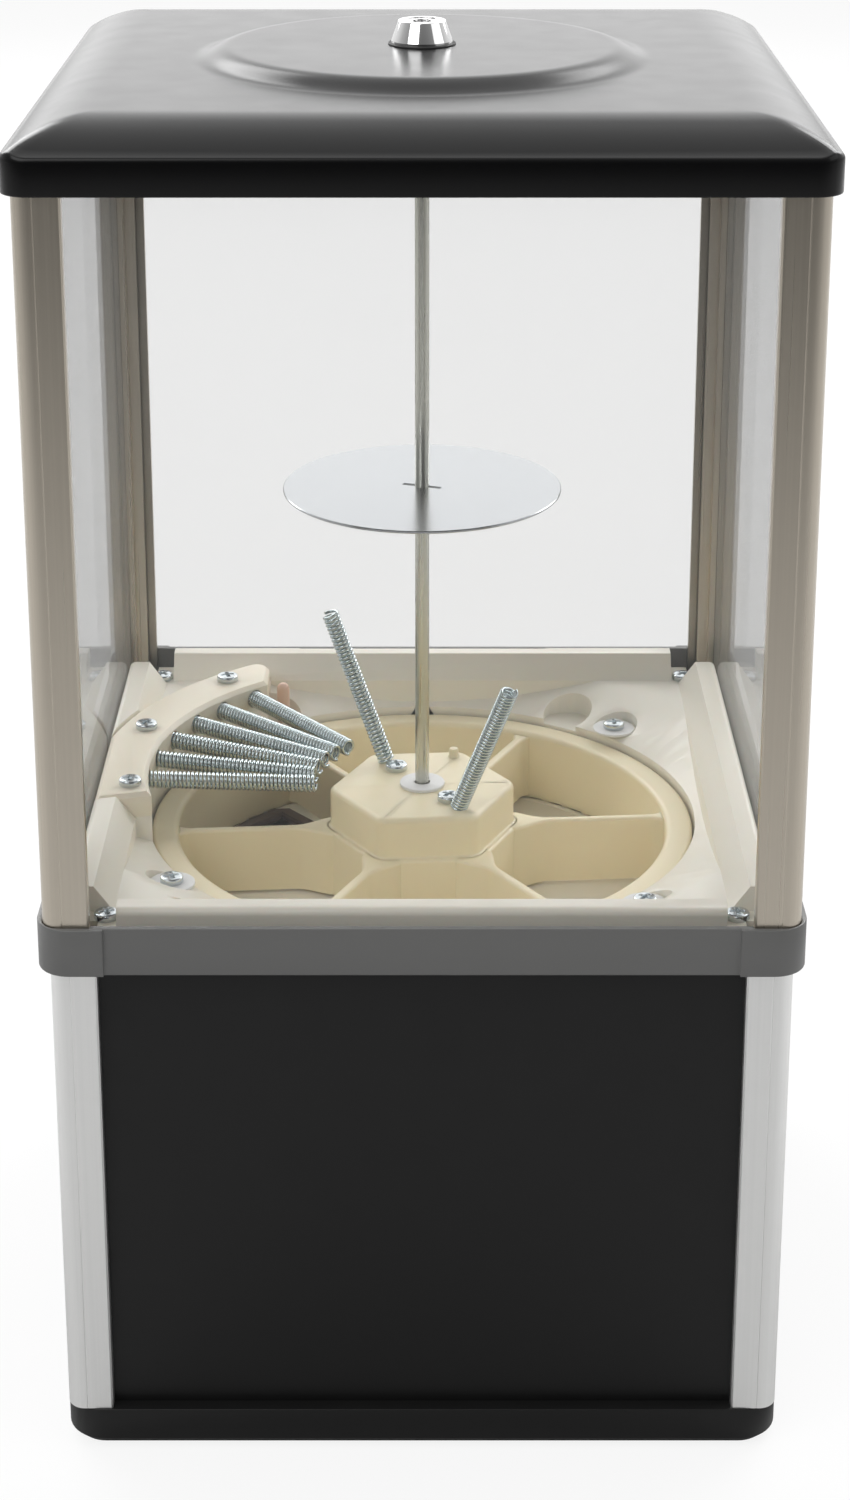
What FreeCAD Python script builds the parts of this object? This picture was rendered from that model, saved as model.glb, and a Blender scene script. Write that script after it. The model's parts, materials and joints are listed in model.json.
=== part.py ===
import FreeCAD, Part
import math
import os

from FreeCAD import Vector

# Square gumball machine. Millimetres, +Z up, origin at the middle of the underside.
# The photographed rear side faces -Y; the coin mechanism and chute door are on the front, +Y.
# Left and right are those of the rear view: left is -X.

# Overall levels, from the floor up
BASE_TOP = 15.0
COLLAR_BOTTOM = 180.0
COLLAR_TOP = 196.5
LID_BOTTOM = 435.0
LID_EDGE = 446.0
LID_FLAT = 456.0
LID_PLATEAU = 460.0

# Half widths of the square outlines
BASE_HALF = 121.0
LOWER_POST_HALF = 120.3
UPPER_POST_HALF = 122.0
RAIL_HALF = 122.9
BLOCK_HALF = 124.1
LID_HALF = 125.0

# Fits: parts pushed together, parts that pass each other, pins in their eyes
SLIDE = 0.1
RUN = 0.3
PIN_FIT = 0.08

# Base pan
BASE_CORNER = 13.0
BASE_BEVEL = 3.5
BASE_WALL = 3.0
BASE_FLOOR = 2.5
BASE_RIM_OPENING = 100.0
BASE_BOSS_R = 12.0
NUT_ROOM_R, NUT_ROOM = 8.0, 6.0
STAND_HOLE_R = 3.3
STAND_HOLE_AT = 50.0

# Posts and the sheets that slide into them
POST_SECTION = 15.5
POST_ROUND = 6.0
POST_CORE = 9.0
WINDOW_THICK = 2.5
WINDOW_PLANE = 117.0
PANEL_THICK = 1.5
PANEL_PLANE = 115.25
SHEET_HALF = 112.5
LOWER_SHEET_HALF = 110.5

# Collar
COLLAR_SHELF = 187.5
COLLAR_CORNER = 11.0
COLLAR_BLOCK_FROM = 102.0
COLLAR_WALL = 2.4
COLLAR_OPEN_R = 119.0
COLLAR_OPEN_HALF = 112.0
POST_SEAT = 3.5
SHEET_SEAT = 3.0
LOWER_SEAT = 2.0

# Hopper tray
TRAY_HALF = 115.2
TRAY_DECK = 190.5
BANK_FOOT = 101.0
BANK_TOP = 107.5
BANK_ROUND = 2.5
LIP_TOP = 199.5
LIP_END = 98.5
LIP_RELIEF_HALF = 49.0
LIP_RELIEF_DEEP = 2.5
WELL_R = 98.5
WELL_WALL = 2.5
WELL_SPLIT = 176.0
DISH_R = 122.0
DISH_EDGE = 180.5
BOWL_R = COLLAR_OPEN_R - 0.5
WELL_FLOOR = 151.0
WELL_BOSS_R, WELL_BOSS_TALL = 9.0, 10.0
FLOOR_THICK = 2.5
CHANNEL_R = 87.8
CHANNEL_FLOOR = 146.5
CORNER_SCREW_AT = 103.0
POCKET_R = 9.0
POCKET_FLOOR = 182.0
POCKETS = [(-85.5, -61.5), (75.0, -77.5), (74.0, 72.0)]
DIMPLE, DIMPLE_R, DIMPLE_DEEP = (-80.5, -87.0), 2.2, 2.8
SCALLOP_R = 9.5
SCALLOP_AT = 104.5
SCALLOP_FLOOR = 178.5
SCALLOP_ANGLES = [57.0, 123.0]
DISCHARGE_FROM, DISCHARGE_TO = 130.0, 178.0
DISCHARGE_R_IN, DISCHARGE_R_OUT = 44.0, 84.0
SPOUT_BOTTOM = 143.6

# Dispensing wheel
COMPARTMENTS = 6
WHEEL_PHASE = 4.0
WHEEL_R = 97.6
RING_IN = 88.0
WHEEL_BOTTOM = 152.0
RING_TOP = 178.0
RING_BEVEL = 1.2
SPOKE_TOP = 176.5
SPOKE_THICK = 3.6
SPOKE_FLARE = 6.0
SPOKE_FLARE_END = 45.0
HUB_CORNER_R = 34.0
HUB_LEDGE_R = 37.0
HUB_ROUND = 8.0
HUB_BEVEL = 1.8
HUB_TOP = 191.5
HUB_WALL = 3.0
HUB_WASHER_R, HUB_WASHER_THICK = 8.1, 1.2
HUB_NUB_R, HUB_NUB_TALL = 1.8, 3.5
HUB_NUB_AT, HUB_NUB_ANGLE = 27.5, 65.0
SLEEVE_R = 6.5
HUB_SCREW_R = 16.5
HUB_SCREW_ANGLE = 125.0

# Gear pair: face teeth under the wheel rim and a pinion on the handle shaft
RING_TEETH = 60
PINION_TEETH = 10
GEAR_IN, GEAR_OUT = 88.5, 96.0
GEAR_BOTTOM = 147.5
GEAR_WEB = 1.0
GEAR_TOOTH = 3.6
PITCH_PLANE = 149.0
PITCH_R = (GEAR_IN + GEAR_OUT) / 2
PINION_R = PITCH_R * PINION_TEETH / RING_TEETH
PINION_TIP_R = PINION_R + 1.5
PINION_ROOT_R = PINION_R - 3.0
PINION_TIP_HALF, PINION_ROOT_HALF = 1.2, 2.3
PINION_FACE = (89.0, 95.0)
SHAFT_Z = PITCH_PLANE - PINION_R
SHAFT_R = 4.0

# Centre rod, baffle and lock
ROD_R = 2.5
ROD_BOTTOM = 2.0
ROD_HEAD = (449.0, 452.5)
ROD_HEAD_HALF = (4.6, 1.8)
ROD_NUT_ACROSS, ROD_NUT_TALL = 8.0, 4.0
BAFFLE_R = 48.5
BAFFLE_THICK = 1.0
BAFFLE_Z = 304.0
BAFFLE_PIN_R = 0.9
BAFFLE_PIN_LENGTH = 13.0
BAFFLE_PIN_ANGLE = 70.0
LOCK_BASE_R, LOCK_TOP_R, LOCK_TALL = 10.3, 7.6, 8.0
LOCK_BARREL_R = 8.0
LOCK_BORE_R = 6.0
KEYHOLE_R = 3.4
LID_WALL = 2.0
LID_SHOULDER = 26.0
LID_CORNER = 9.0
PLATEAU_R_LOW, PLATEAU_R_TOP = 76.0, 64.0

# Springs: outer diameter 6.4, drawn with few curls
SPRING_R = 3.2
WIRE_R = 0.65
WIRE_SIDES = 4
SPRING_CURLS = 4
SPRING_LEAD = 6.0
BRUSH_Z = 193.85
BRUSH_R_OUT, BRUSH_R_IN = 113.0, 38.0
BRUSH_MOUTH_ANGLES = [180.5, 170.0, 159.6, 149.8, 140.7, 131.0]
BRUSH_TIP_ANGLES = [187.0, 176.0, 165.5, 155.0, 145.0, 135.0]
AGITATOR_SOCKET = 1.5
AGITATORS = [
    (Vector(-12.9, 19.6, HUB_TOP), Vector(-33.8, 24.0, 249.0)),
    (Vector(12.9, -19.6, HUB_TOP), Vector(30.0, -44.0, 246.0)),
]

# Spring cover
COVER_R_IN, COVER_R_OUT = 98.5, 118.0
COVER_FROM, COVER_TO = 118.0, 194.5
COVER_END = -60.0
COVER_END_ROUND = 5.0
COVER_TOP = 199.5
COVER_SIDE = 114.9
COVER_SCREWS = [(-75.5, 79.5), (-102.5, 33.0), (-103.5, -17.5)]

# Coin mechanism, along the handle shaft
PANEL_BACK = PANEL_PLANE - PANEL_THICK / 2
PANEL_FACE = PANEL_PLANE + PANEL_THICK / 2
FACEPLATE_HALF = 41.0
FACEPLATE_THICK = 4.0
FACEPLATE_SCREW_AT = 34.5
CARRIER_R = 29.0
CARRIER_Y = (107.0, 112.5)
COIN_R = 12.7
COIN_AT = 22.0
HOUSING_R = 30.0
HOUSING_WALL = 2.5
HOUSING_BACK = 103.5
FLANGE_THICK = 2.0
RATCHET_TEETH = 8
RATCHET_R, RATCHET_ROOT_R = 9.0, 6.2
RATCHET_Y = (96.6, 100.4)
PAWL_PIVOT = (15.0, -9.0)
PAWL_ANGLE = 20.0
PAWL_LIFT = 12.0
PAWL_EYE_R = 3.2
PAWL_PIN_R = 1.5
PAWL_SPRING_R = 3.0
HANDLE_REACH = 146.0
HANDLE_DISC_R = 17.0

# Chute and its door
CHUTE_X = (-87.0, -25.0)
CHUTE_WALL = 2.0
CHUTE_BACK = -3.0
CHUTE_FRONT = 68.0
CHUTE_FLOOR_BACK = 92.0
CHUTE_FLOOR_FRONT = 28.0
CHUTE_ROOF_BACK = 108.0
DOOR_X = (-84.0, -28.0)
DOOR_Z = (30.0, 82.0)
DOOR_FRAME_BORDER = 8.0
DOOR_FRAME_THICK = 5.0
HINGE_Z = 85.0
HINGE_Y = 119.2
HINGE_PIN_R = 1.2
BARREL_R = 2.5
DOOR_THICK = 2.0

# Pan-head screws
HEAD_R, HEAD_TALL, SHANK_R = 4.0, 2.6, 1.6
WASHER_R, WASHER_THICK = 8.0, 1.0


def box(x0, x1, y0, y1, z0, z1):
    return Part.makeBox(x1 - x0, y1 - y0, z1 - z0, Vector(x0, y0, z0))


def square(half, z0, z1):
    return box(-half, half, -half, half, z0, z1)


def cylinder(r, z0, z1, x=0.0, y=0.0):
    return Part.makeCylinder(r, z1 - z0, Vector(x, y, z0))


def along_y(r, y0, y1, x=0.0, z=SHAFT_Z):
    return Part.makeCylinder(r, y1 - y0, Vector(x, y0, z), Vector(0, 1, 0))


def along_x(r, x0, x1, y, z):
    return Part.makeCylinder(r, x1 - x0, Vector(x0, y, z), Vector(1, 0, 0))


def polygon_face(points):
    return Part.Face(Part.makePolygon(points + [points[0]]))


def prism(outline, z0, z1):
    """An outline of (x, y) points raised from z0 to z1."""
    face = polygon_face([Vector(x, y, z0) for x, y in outline])
    return face.extrude(Vector(0, 0, z1 - z0))


def prism_y(outline, y0, y1):
    """An outline of (x, z) points carried along Y."""
    face = polygon_face([Vector(x, y0, z) for x, z in outline])
    return face.extrude(Vector(0, y1 - y0, 0))


def prism_x(outline, x0, x1):
    """An outline of (y, z) points carried along X."""
    face = polygon_face([Vector(x0, y, z) for y, z in outline])
    return face.extrude(Vector(x1 - x0, 0, 0))


def frustum(lower, upper):
    """A flat-sided block between two outlines of corner points with the same number of corners."""
    faces = [polygon_face(lower), polygon_face(upper)]
    for k in range(len(lower)):
        faces.append(polygon_face([lower[k - 1], lower[k], upper[k], upper[k - 1]]))
    return Part.makeSolid(Part.makeShell(faces))


def revolve(outline, angle=360.0):
    """An outline of (radius, z) points turned about the Z axis."""
    face = polygon_face([Vector(r, 0, z) for r, z in outline])
    return face.revolve(Vector(0, 0, 0), Vector(0, 0, 1), angle)


def polar(r, angle):
    turn = math.radians(angle)
    return r * math.cos(turn), r * math.sin(turn)


def sector(r0, r1, from_angle, to_angle, z0, z1):
    """A piece of a ring between two radii and two angles."""
    piece = revolve([(r0, z0), (r1, z0), (r1, z1), (r0, z1)], to_angle - from_angle)
    piece.rotate(Vector(0, 0, 0), Vector(0, 0, 1), from_angle)
    return piece


def hexagon(corner_r, z0, z1):
    """A six-sided block with a corner on every spoke."""
    corners = [polar(corner_r, WHEEL_PHASE + 60 * k) for k in range(6)]
    return prism(corners, z0, z1)


def upright(edge):
    """True for a straight edge along Z."""
    first, last = edge.Vertexes[0].Point, edge.Vertexes[-1].Point
    return abs(first.x - last.x) + abs(first.y - last.y) < 1e-6 < abs(first.z - last.z)


def at_corner(edge, half):
    """True for an edge that starts at the +X +Y corner of a square outline."""
    first = edge.Vertexes[0].Point
    return abs(first.x - half) + abs(first.y - half) < 1e-6


def level_edges(solid, z):
    return [e for e in solid.Edges if all(abs(v.Z - z) < 1e-6 for v in e.Vertexes)]


def round_upright(solid, r):
    return solid.makeFillet(r, [e for e in solid.Edges if upright(e)])


def round_level(solid, r, z):
    return solid.makeFillet(r, level_edges(solid, z))


def bevel_level(solid, size, z):
    return solid.makeChamfer(size, level_edges(solid, z))


def rounded_square(half, r, z0, z1):
    return round_upright(square(half, z0, z1), r)


def joined(solids):
    return solids[0].multiFuse(solids[1:]).removeSplitter()


def turned(shape, angle):
    copy = shape.copy()
    copy.rotate(Vector(0, 0, 0), Vector(0, 0, 1), angle)
    return copy


def four_turns(shape):
    return [turned(shape, 90.0 * k) for k in range(4)]


def save(node, *solids):
    shape = solids[0] if len(solids) == 1 else Part.makeCompound(list(solids))
    shape.exportStep(f"parts/{node}.step")
    print(f"{node}: {len(shape.Solids)} solid(s), {shape.Volume / 1000:.2f} cm3")


def six_sided(r, z0, z1, x=0.0, y=0.0):
    """A plain stand-in for a small threaded shank or its hole."""
    block = prism([polar(r, 60 * k) for k in range(6)], z0, z1)
    block.translate(Vector(x, y, 0))
    return block


def pan_screw(x, y, z, length):
    """A pan-head screw standing on height z, with its head up."""
    head = cylinder(HEAD_R, z, z + HEAD_TALL, x, y)
    return head.fuse(six_sided(SHANK_R, z - length, z, x, y)).removeSplitter()


def screw_hole(x, y, z0, z1):
    return six_sided(SHANK_R + SLIDE, z0, z1, x, y)


def screw_hole_y(x, z, y0, y1):
    hole = six_sided(SHANK_R + SLIDE, 0, y1 - y0)
    hole.rotate(Vector(0, 0, 0), Vector(1, 0, 0), -90)
    hole.translate(Vector(x, y0, z))
    return hole


def hex_nut(across, bore_r, z0, z1):
    return six_sided(across / math.sqrt(3), z0, z1).cut(cylinder(bore_r, z0, z1))


def post(half, sheet_plane, sheet_thick, z0, z1):
    """Corner extrusion at +X +Y: rounded outside, with a slot for each sheet."""
    outer = half - sheet_plane - sheet_thick / 2 - SLIDE
    inner = half - sheet_plane + sheet_thick / 2 + SLIDE
    lip_end = POST_SECTION - 3.0
    half_outline = [
        (POST_SECTION, 0.0),
        (POST_SECTION, outer),
        (POST_CORE, outer),
        (POST_CORE, inner),
        (lip_end, inner),
        (lip_end, inner + 2.2),
    ]
    mirrored = [(v, u) for u, v in reversed(half_outline)]
    notch = [(inner + 2.2, inner + 2.2)]
    outline = [(half - u, half - v) for u, v in [(0.0, 0.0)] + half_outline + notch + mirrored]
    body = prism(outline, z0, z1)
    corner = [e for e in body.Edges if upright(e) and at_corner(e, half)]
    return body.makeFillet(POST_ROUND, corner)


def sheet(plane, thick, half, z0, z1):
    """A flat sheet across the +Y side."""
    return box(-half, half, plane - thick / 2, plane + thick / 2, z0, z1)


def make_base():
    body = rounded_square(BASE_HALF, BASE_CORNER, 0, BASE_TOP)
    body = bevel_level(body, BASE_BEVEL, 0)
    inside = BASE_HALF - BASE_WALL
    hollow = rounded_square(inside, BASE_CORNER - BASE_WALL, BASE_FLOOR, BASE_TOP - BASE_WALL)
    mouth = rounded_square(BASE_RIM_OPENING, BASE_CORNER, BASE_FLOOR, BASE_TOP)
    body = body.cut(hollow).cut(mouth)
    boss = cylinder(BASE_BOSS_R, 0, BASE_TOP - BASE_WALL)
    body = body.fuse(boss).cut(cylinder(NUT_ROOM_R, 0, NUT_ROOM)).cut(cylinder(ROD_R + SLIDE, 0, BASE_TOP))
    stand_hole = cylinder(STAND_HOLE_R, -1, BASE_FLOOR + 1, STAND_HOLE_AT, STAND_HOLE_AT)
    save("base", body.cut(four_turns(stand_hole)))


QUADRANTS = [(1, 1), (-1, 1), (-1, -1), (1, -1)]
CORNERS = ["front_right", "front_left", "rear_left", "rear_right"]
SIDES = ["front", "left", "rear", "right"]


def make_posts_and_sheets():
    upper = post(UPPER_POST_HALF, WINDOW_PLANE, WINDOW_THICK, COLLAR_SHELF - POST_SEAT, LID_BOTTOM + 2)
    lower = post(LOWER_POST_HALF, PANEL_PLANE, PANEL_THICK, BASE_TOP, COLLAR_BOTTOM + LOWER_SEAT)
    for name, high, low in zip(CORNERS, four_turns(upper), four_turns(lower)):
        save(f"upper_post_{name}", high)
        save(f"lower_post_{name}", low)
    window = sheet(WINDOW_PLANE, WINDOW_THICK, SHEET_HALF, COLLAR_SHELF - SHEET_SEAT, LID_BOTTOM + 2)
    panel = sheet(PANEL_PLANE, PANEL_THICK, LOWER_SHEET_HALF, BASE_TOP, COLLAR_BOTTOM + LOWER_SEAT)
    for name, pane, plate in zip(SIDES, four_turns(window), four_turns(panel)):
        save(f"window_{name}", pane)
        if name == "front":
            plate = plate.cut(mechanism_cutout()).cut(door_cutout())
        save(f"{name}_panel", plate)


def mechanism_cutout():
    holes = [along_y(HOUSING_R, PANEL_BACK - 1, PANEL_FACE + 1)]
    for x, z in faceplate_corners():
        holes.append(screw_hole_y(x, z, PANEL_BACK - 1, PANEL_FACE + 1))
    return Part.makeCompound(holes)


def door_cutout():
    holes = [box(*DOOR_X, PANEL_BACK - 1, PANEL_FACE + 1, *DOOR_Z)]
    for x, z in door_frame_corners():
        holes.append(screw_hole_y(x, z, PANEL_BACK - 1, PANEL_FACE + 1))
    return Part.makeCompound(holes)


def make_collar():
    """Ring between cabinet and hopper: rails set in from proud corner blocks, sockets above and below."""
    rails = rounded_square(RAIL_HALF, COLLAR_CORNER, COLLAR_BOTTOM, COLLAR_TOP)
    blocks = rounded_square(BLOCK_HALF, COLLAR_CORNER, COLLAR_BOTTOM, COLLAR_TOP)
    between = COLLAR_BLOCK_FROM
    reach = BLOCK_HALF + 1
    for across in (0, 90):
        gap = box(-between, between, -reach, reach, COLLAR_BOTTOM - 1, COLLAR_TOP + 1)
        blocks = blocks.cut(turned(gap, across))
    body = joined([rails] + blocks.Solids)
    above = COLLAR_TOP + 1
    body = body.cut(rounded_square(RAIL_HALF - COLLAR_WALL, COLLAR_CORNER - COLLAR_WALL, COLLAR_SHELF, above))
    socket_half = UPPER_POST_HALF + SLIDE
    socket_from = UPPER_POST_HALF - POST_SECTION - SLIDE
    socket = box(socket_from, socket_half, socket_from, socket_half, COLLAR_SHELF - POST_SEAT, above)
    socket = socket.makeFillet(POST_ROUND, [e for e in socket.Edges if upright(e) and at_corner(e, socket_half)])
    lower_half = LOWER_POST_HALF + SLIDE
    lower_from = LOWER_POST_HALF - POST_SECTION - SLIDE
    seat_top = COLLAR_BOTTOM + LOWER_SEAT
    lower_socket = box(lower_from, lower_half, lower_from, lower_half, COLLAR_BOTTOM - 1, seat_top)
    groove = sheet(WINDOW_PLANE, WINDOW_THICK + 2 * SLIDE, SHEET_HALF, COLLAR_SHELF - SHEET_SEAT, above)
    lower_groove = sheet(PANEL_PLANE, PANEL_THICK + 2 * SLIDE, LOWER_SHEET_HALF, COLLAR_BOTTOM - 1, seat_top)
    screw = screw_hole(CORNER_SCREW_AT, CORNER_SCREW_AT, COLLAR_BOTTOM, above)
    for cutter in (socket, lower_socket, groove, lower_groove, screw):
        body = body.cut(four_turns(cutter))
    opening = cylinder(COLLAR_OPEN_R, COLLAR_BOTTOM - 1, above)
    body = body.cut(opening.common(square(COLLAR_OPEN_HALF, COLLAR_BOTTOM - 1, above)))
    save("collar", body)


def brush_lines():
    """Mouth and tip of each brush spring: where it leaves the cover and where it ends over the wheel."""
    lines = []
    for mouth_angle, tip_angle in zip(BRUSH_MOUTH_ANGLES, BRUSH_TIP_ANGLES):
        mouth = Vector(*polar(COVER_R_IN, mouth_angle), BRUSH_Z)
        tip = Vector(*polar(BRUSH_R_IN, tip_angle), BRUSH_Z)
        out = (mouth - tip).normalize()
        lines.append((mouth + out * (BRUSH_R_OUT - COVER_R_IN), tip))
    return lines


def spring_room(start, tip, clearance):
    return Part.makeCylinder(SPRING_R + clearance, (tip - start).Length, start, tip - start)


def make_tray():
    """Moulded hopper floor: banks, dished deck, round well with a gear channel, spout under the discharge."""
    bottom = CHANNEL_FLOOR - FLOOR_THICK
    wall_r = WELL_R + WELL_WALL
    dish_slope = (TRAY_DECK - DISH_EDGE) / (DISH_R - WELL_R)
    bowl_edge = DISH_EDGE + dish_slope * (BOWL_R - WELL_R) - FLOOR_THICK
    bowl = revolve([
        (0, WELL_FLOOR - FLOOR_THICK),
        (CHANNEL_R - FLOOR_THICK, WELL_FLOOR - FLOOR_THICK),
        (CHANNEL_R - FLOOR_THICK, bottom),
        (wall_r, bottom),
        (wall_r, DISH_EDGE - WELL_WALL),
        (BOWL_R, bowl_edge),
        (BOWL_R, TRAY_DECK),
        (0, TRAY_DECK),
    ])
    bowl = bowl.common(square(COLLAR_OPEN_HALF - 0.5, bottom, TRAY_DECK))
    rim = square(TRAY_HALF, COLLAR_SHELF, LIP_TOP)
    rim = round_level(rim, BANK_ROUND, LIP_TOP)
    bosses = [cylinder(WELL_BOSS_R, WELL_FLOOR - WELL_BOSS_TALL, WELL_FLOOR)]
    boss_bottom = SCALLOP_FLOOR - FLOOR_THICK
    boss_room = cylinder(BOWL_R, boss_bottom, TRAY_DECK)
    for x, y in POCKETS:
        bosses.append(cylinder(POCKET_R + 2, boss_bottom, TRAY_DECK, x, y).common(boss_room))
    for angle in SCALLOP_ANGLES:
        boss = cylinder(SCALLOP_R + 2, boss_bottom, TRAY_DECK, *polar(SCALLOP_AT, angle))
        bosses.append(boss.common(boss_room))
    spout = sector(DISCHARGE_R_IN - 2, DISCHARGE_R_OUT + 1, DISCHARGE_FROM - 2, DISCHARGE_TO + 2,
                   SPOUT_BOTTOM, WELL_FLOOR)
    body = joined([bowl, rim] + bosses + [spout]).cut(tray_cutters()).removeSplitter()
    well_room = cylinder(wall_r, 0, WELL_SPLIT)
    floor_room = cylinder(CHANNEL_R - FLOOR_THICK, 0, WELL_SPLIT)
    save("hopper_tray", body.cut(well_room))
    save("well_wall", body.common(well_room).cut(floor_room))
    save("well_floor", body.common(floor_room))


def tray_cutters():
    top = LIP_TOP + 1
    slope = (BANK_TOP - BANK_FOOT) / (LIP_TOP - TRAY_DECK)
    wide = BANK_FOOT + slope * (top - TRAY_DECK)
    foot = [Vector(x * BANK_FOOT, y * BANK_FOOT, TRAY_DECK) for x, y in QUADRANTS]
    crest = [Vector(x * wide, y * wide, top) for x, y in QUADRANTS]
    cutters = [frustum(foot, crest)]
    well = revolve([
        (0, WELL_FLOOR),
        (CHANNEL_R, WELL_FLOOR),
        (CHANNEL_R, CHANNEL_FLOOR),
        (WELL_R, CHANNEL_FLOOR),
        (WELL_R, top),
        (0, top),
    ])
    sleeve_seat = cylinder(WELL_BOSS_R, WELL_FLOOR - 1, WHEEL_BOTTOM - RUN)
    cutters.append(well.cut(sleeve_seat))
    dish = revolve([(0, DISH_EDGE), (WELL_R, DISH_EDGE), (DISH_R, TRAY_DECK), (0, TRAY_DECK)])
    dish = dish.common(square(BANK_FOOT, DISH_EDGE - 1, top))
    past_end = box(COVER_END, 0, 0, DISH_R + 10, DISH_EDGE - 1, top)
    under_cover = sector(1, DISH_R + 10, COVER_FROM, COVER_TO, DISH_EDGE - 1, top)
    cutters.append(dish.cut(under_cover.cut(past_end)))
    cover_room = sector(WELL_R - 5, COVER_R_OUT + 0.4, COVER_FROM, COVER_TO + 0.3, TRAY_DECK, top)
    cutters.append(cover_room.cut(past_end))
    cutters.append(cylinder(ROD_R + SLIDE, 0, top))
    for x, y in POCKETS:
        cutters.append(cylinder(POCKET_R, POCKET_FLOOR, top, x, y))
        cutters.append(screw_hole(x, y, POCKET_FLOOR - 10, top))
    for angle in SCALLOP_ANGLES:
        cutters.append(cylinder(SCALLOP_R, SCALLOP_FLOOR, TRAY_DECK, *polar(SCALLOP_AT, angle)))
    for x, y in COVER_SCREWS:
        cutters.append(screw_hole(x, y, COLLAR_SHELF - 10, top))
    cutters.append(sector(DISCHARGE_R_IN, DISCHARGE_R_OUT, DISCHARGE_FROM, DISCHARGE_TO, SPOUT_BOTTOM - 1, top))
    slot_half = PINION_TIP_R - 1.4
    cutters.append(box(-slot_half, slot_half, CHANNEL_R, WELL_R - 0.5, CHANNEL_FLOOR - 4, CHANNEL_FLOOR + 1))
    notch = [(-5.2, RING_TOP - 2), (5.2, RING_TOP - 2), (1.6, RING_TOP + 4), (-1.6, RING_TOP + 4)]
    cutters.append(prism_y(notch, WELL_R - 5, WELL_R + WELL_WALL + 5))
    corner = box(LIP_END, TRAY_HALF + 1, LIP_END, TRAY_HALF + 1, TRAY_DECK, top)
    post_room = box(105.5, TRAY_HALF + 1, 105.5, TRAY_HALF + 1, COLLAR_SHELF - 1, top)
    screw = screw_hole(CORNER_SCREW_AT, CORNER_SCREW_AT, COLLAR_SHELF - 1, top)
    for cutter in (corner, post_room, screw):
        cutters.extend(four_turns(cutter))
    relief_from = TRAY_HALF - LIP_RELIEF_DEEP
    cutters.append(box(-LIP_RELIEF_HALF, LIP_RELIEF_HALF, relief_from, TRAY_HALF + 1, TRAY_DECK + 1, top))
    cutters.append(cylinder(DIMPLE_R, TRAY_DECK - DIMPLE_DEEP, top, *DIMPLE))
    return cutters


def make_tray_fasteners():
    corner = pan_screw(CORNER_SCREW_AT, CORNER_SCREW_AT, TRAY_DECK, TRAY_DECK - COLLAR_BOTTOM - 1)
    save("tray_corner_screws", *four_turns(corner))
    washers, screws = [], []
    for x, y in POCKETS:
        seat = POCKET_FLOOR + WASHER_THICK
        washer = cylinder(WASHER_R, POCKET_FLOOR, seat, x, y)
        washers.append(washer.cut(screw_hole(x, y, POCKET_FLOOR, seat)))
        screws.append(pan_screw(x, y, seat, 4.5))
    save("wheel_keeper_washers", *washers)
    save("wheel_keeper_screws", *screws)


def make_spring_cover():
    """Arc-shaped clamp over the roots of the brush springs."""
    cover = sector(COVER_R_IN, COVER_R_OUT, COVER_FROM, COVER_TO, TRAY_DECK, COVER_TOP)
    cover = cover.cut(box(-COVER_R_OUT - 1, -COVER_SIDE, -60, 60, TRAY_DECK, COVER_TOP))
    cover = cover.cut(box(COVER_END, 0, 0, COVER_R_OUT + 1, TRAY_DECK, COVER_TOP))
    farthest = max([e for e in cover.Edges if upright(e)], key=lambda e: e.Vertexes[0].Y)
    cover = cover.makeFillet(COVER_END_ROUND, [farthest])
    cover = bevel_level(cover, 1.5, COVER_TOP)
    for start, tip in brush_lines():
        cover = cover.cut(spring_room(start, tip, RUN))
    for x, y in COVER_SCREWS:
        cover = cover.cut(screw_hole(x, y, TRAY_DECK, COVER_TOP))
    save("spring_cover", cover)
    save("cover_screws", *[pan_screw(x, y, COVER_TOP, COVER_TOP - COLLAR_SHELF) for x, y in COVER_SCREWS])


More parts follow.
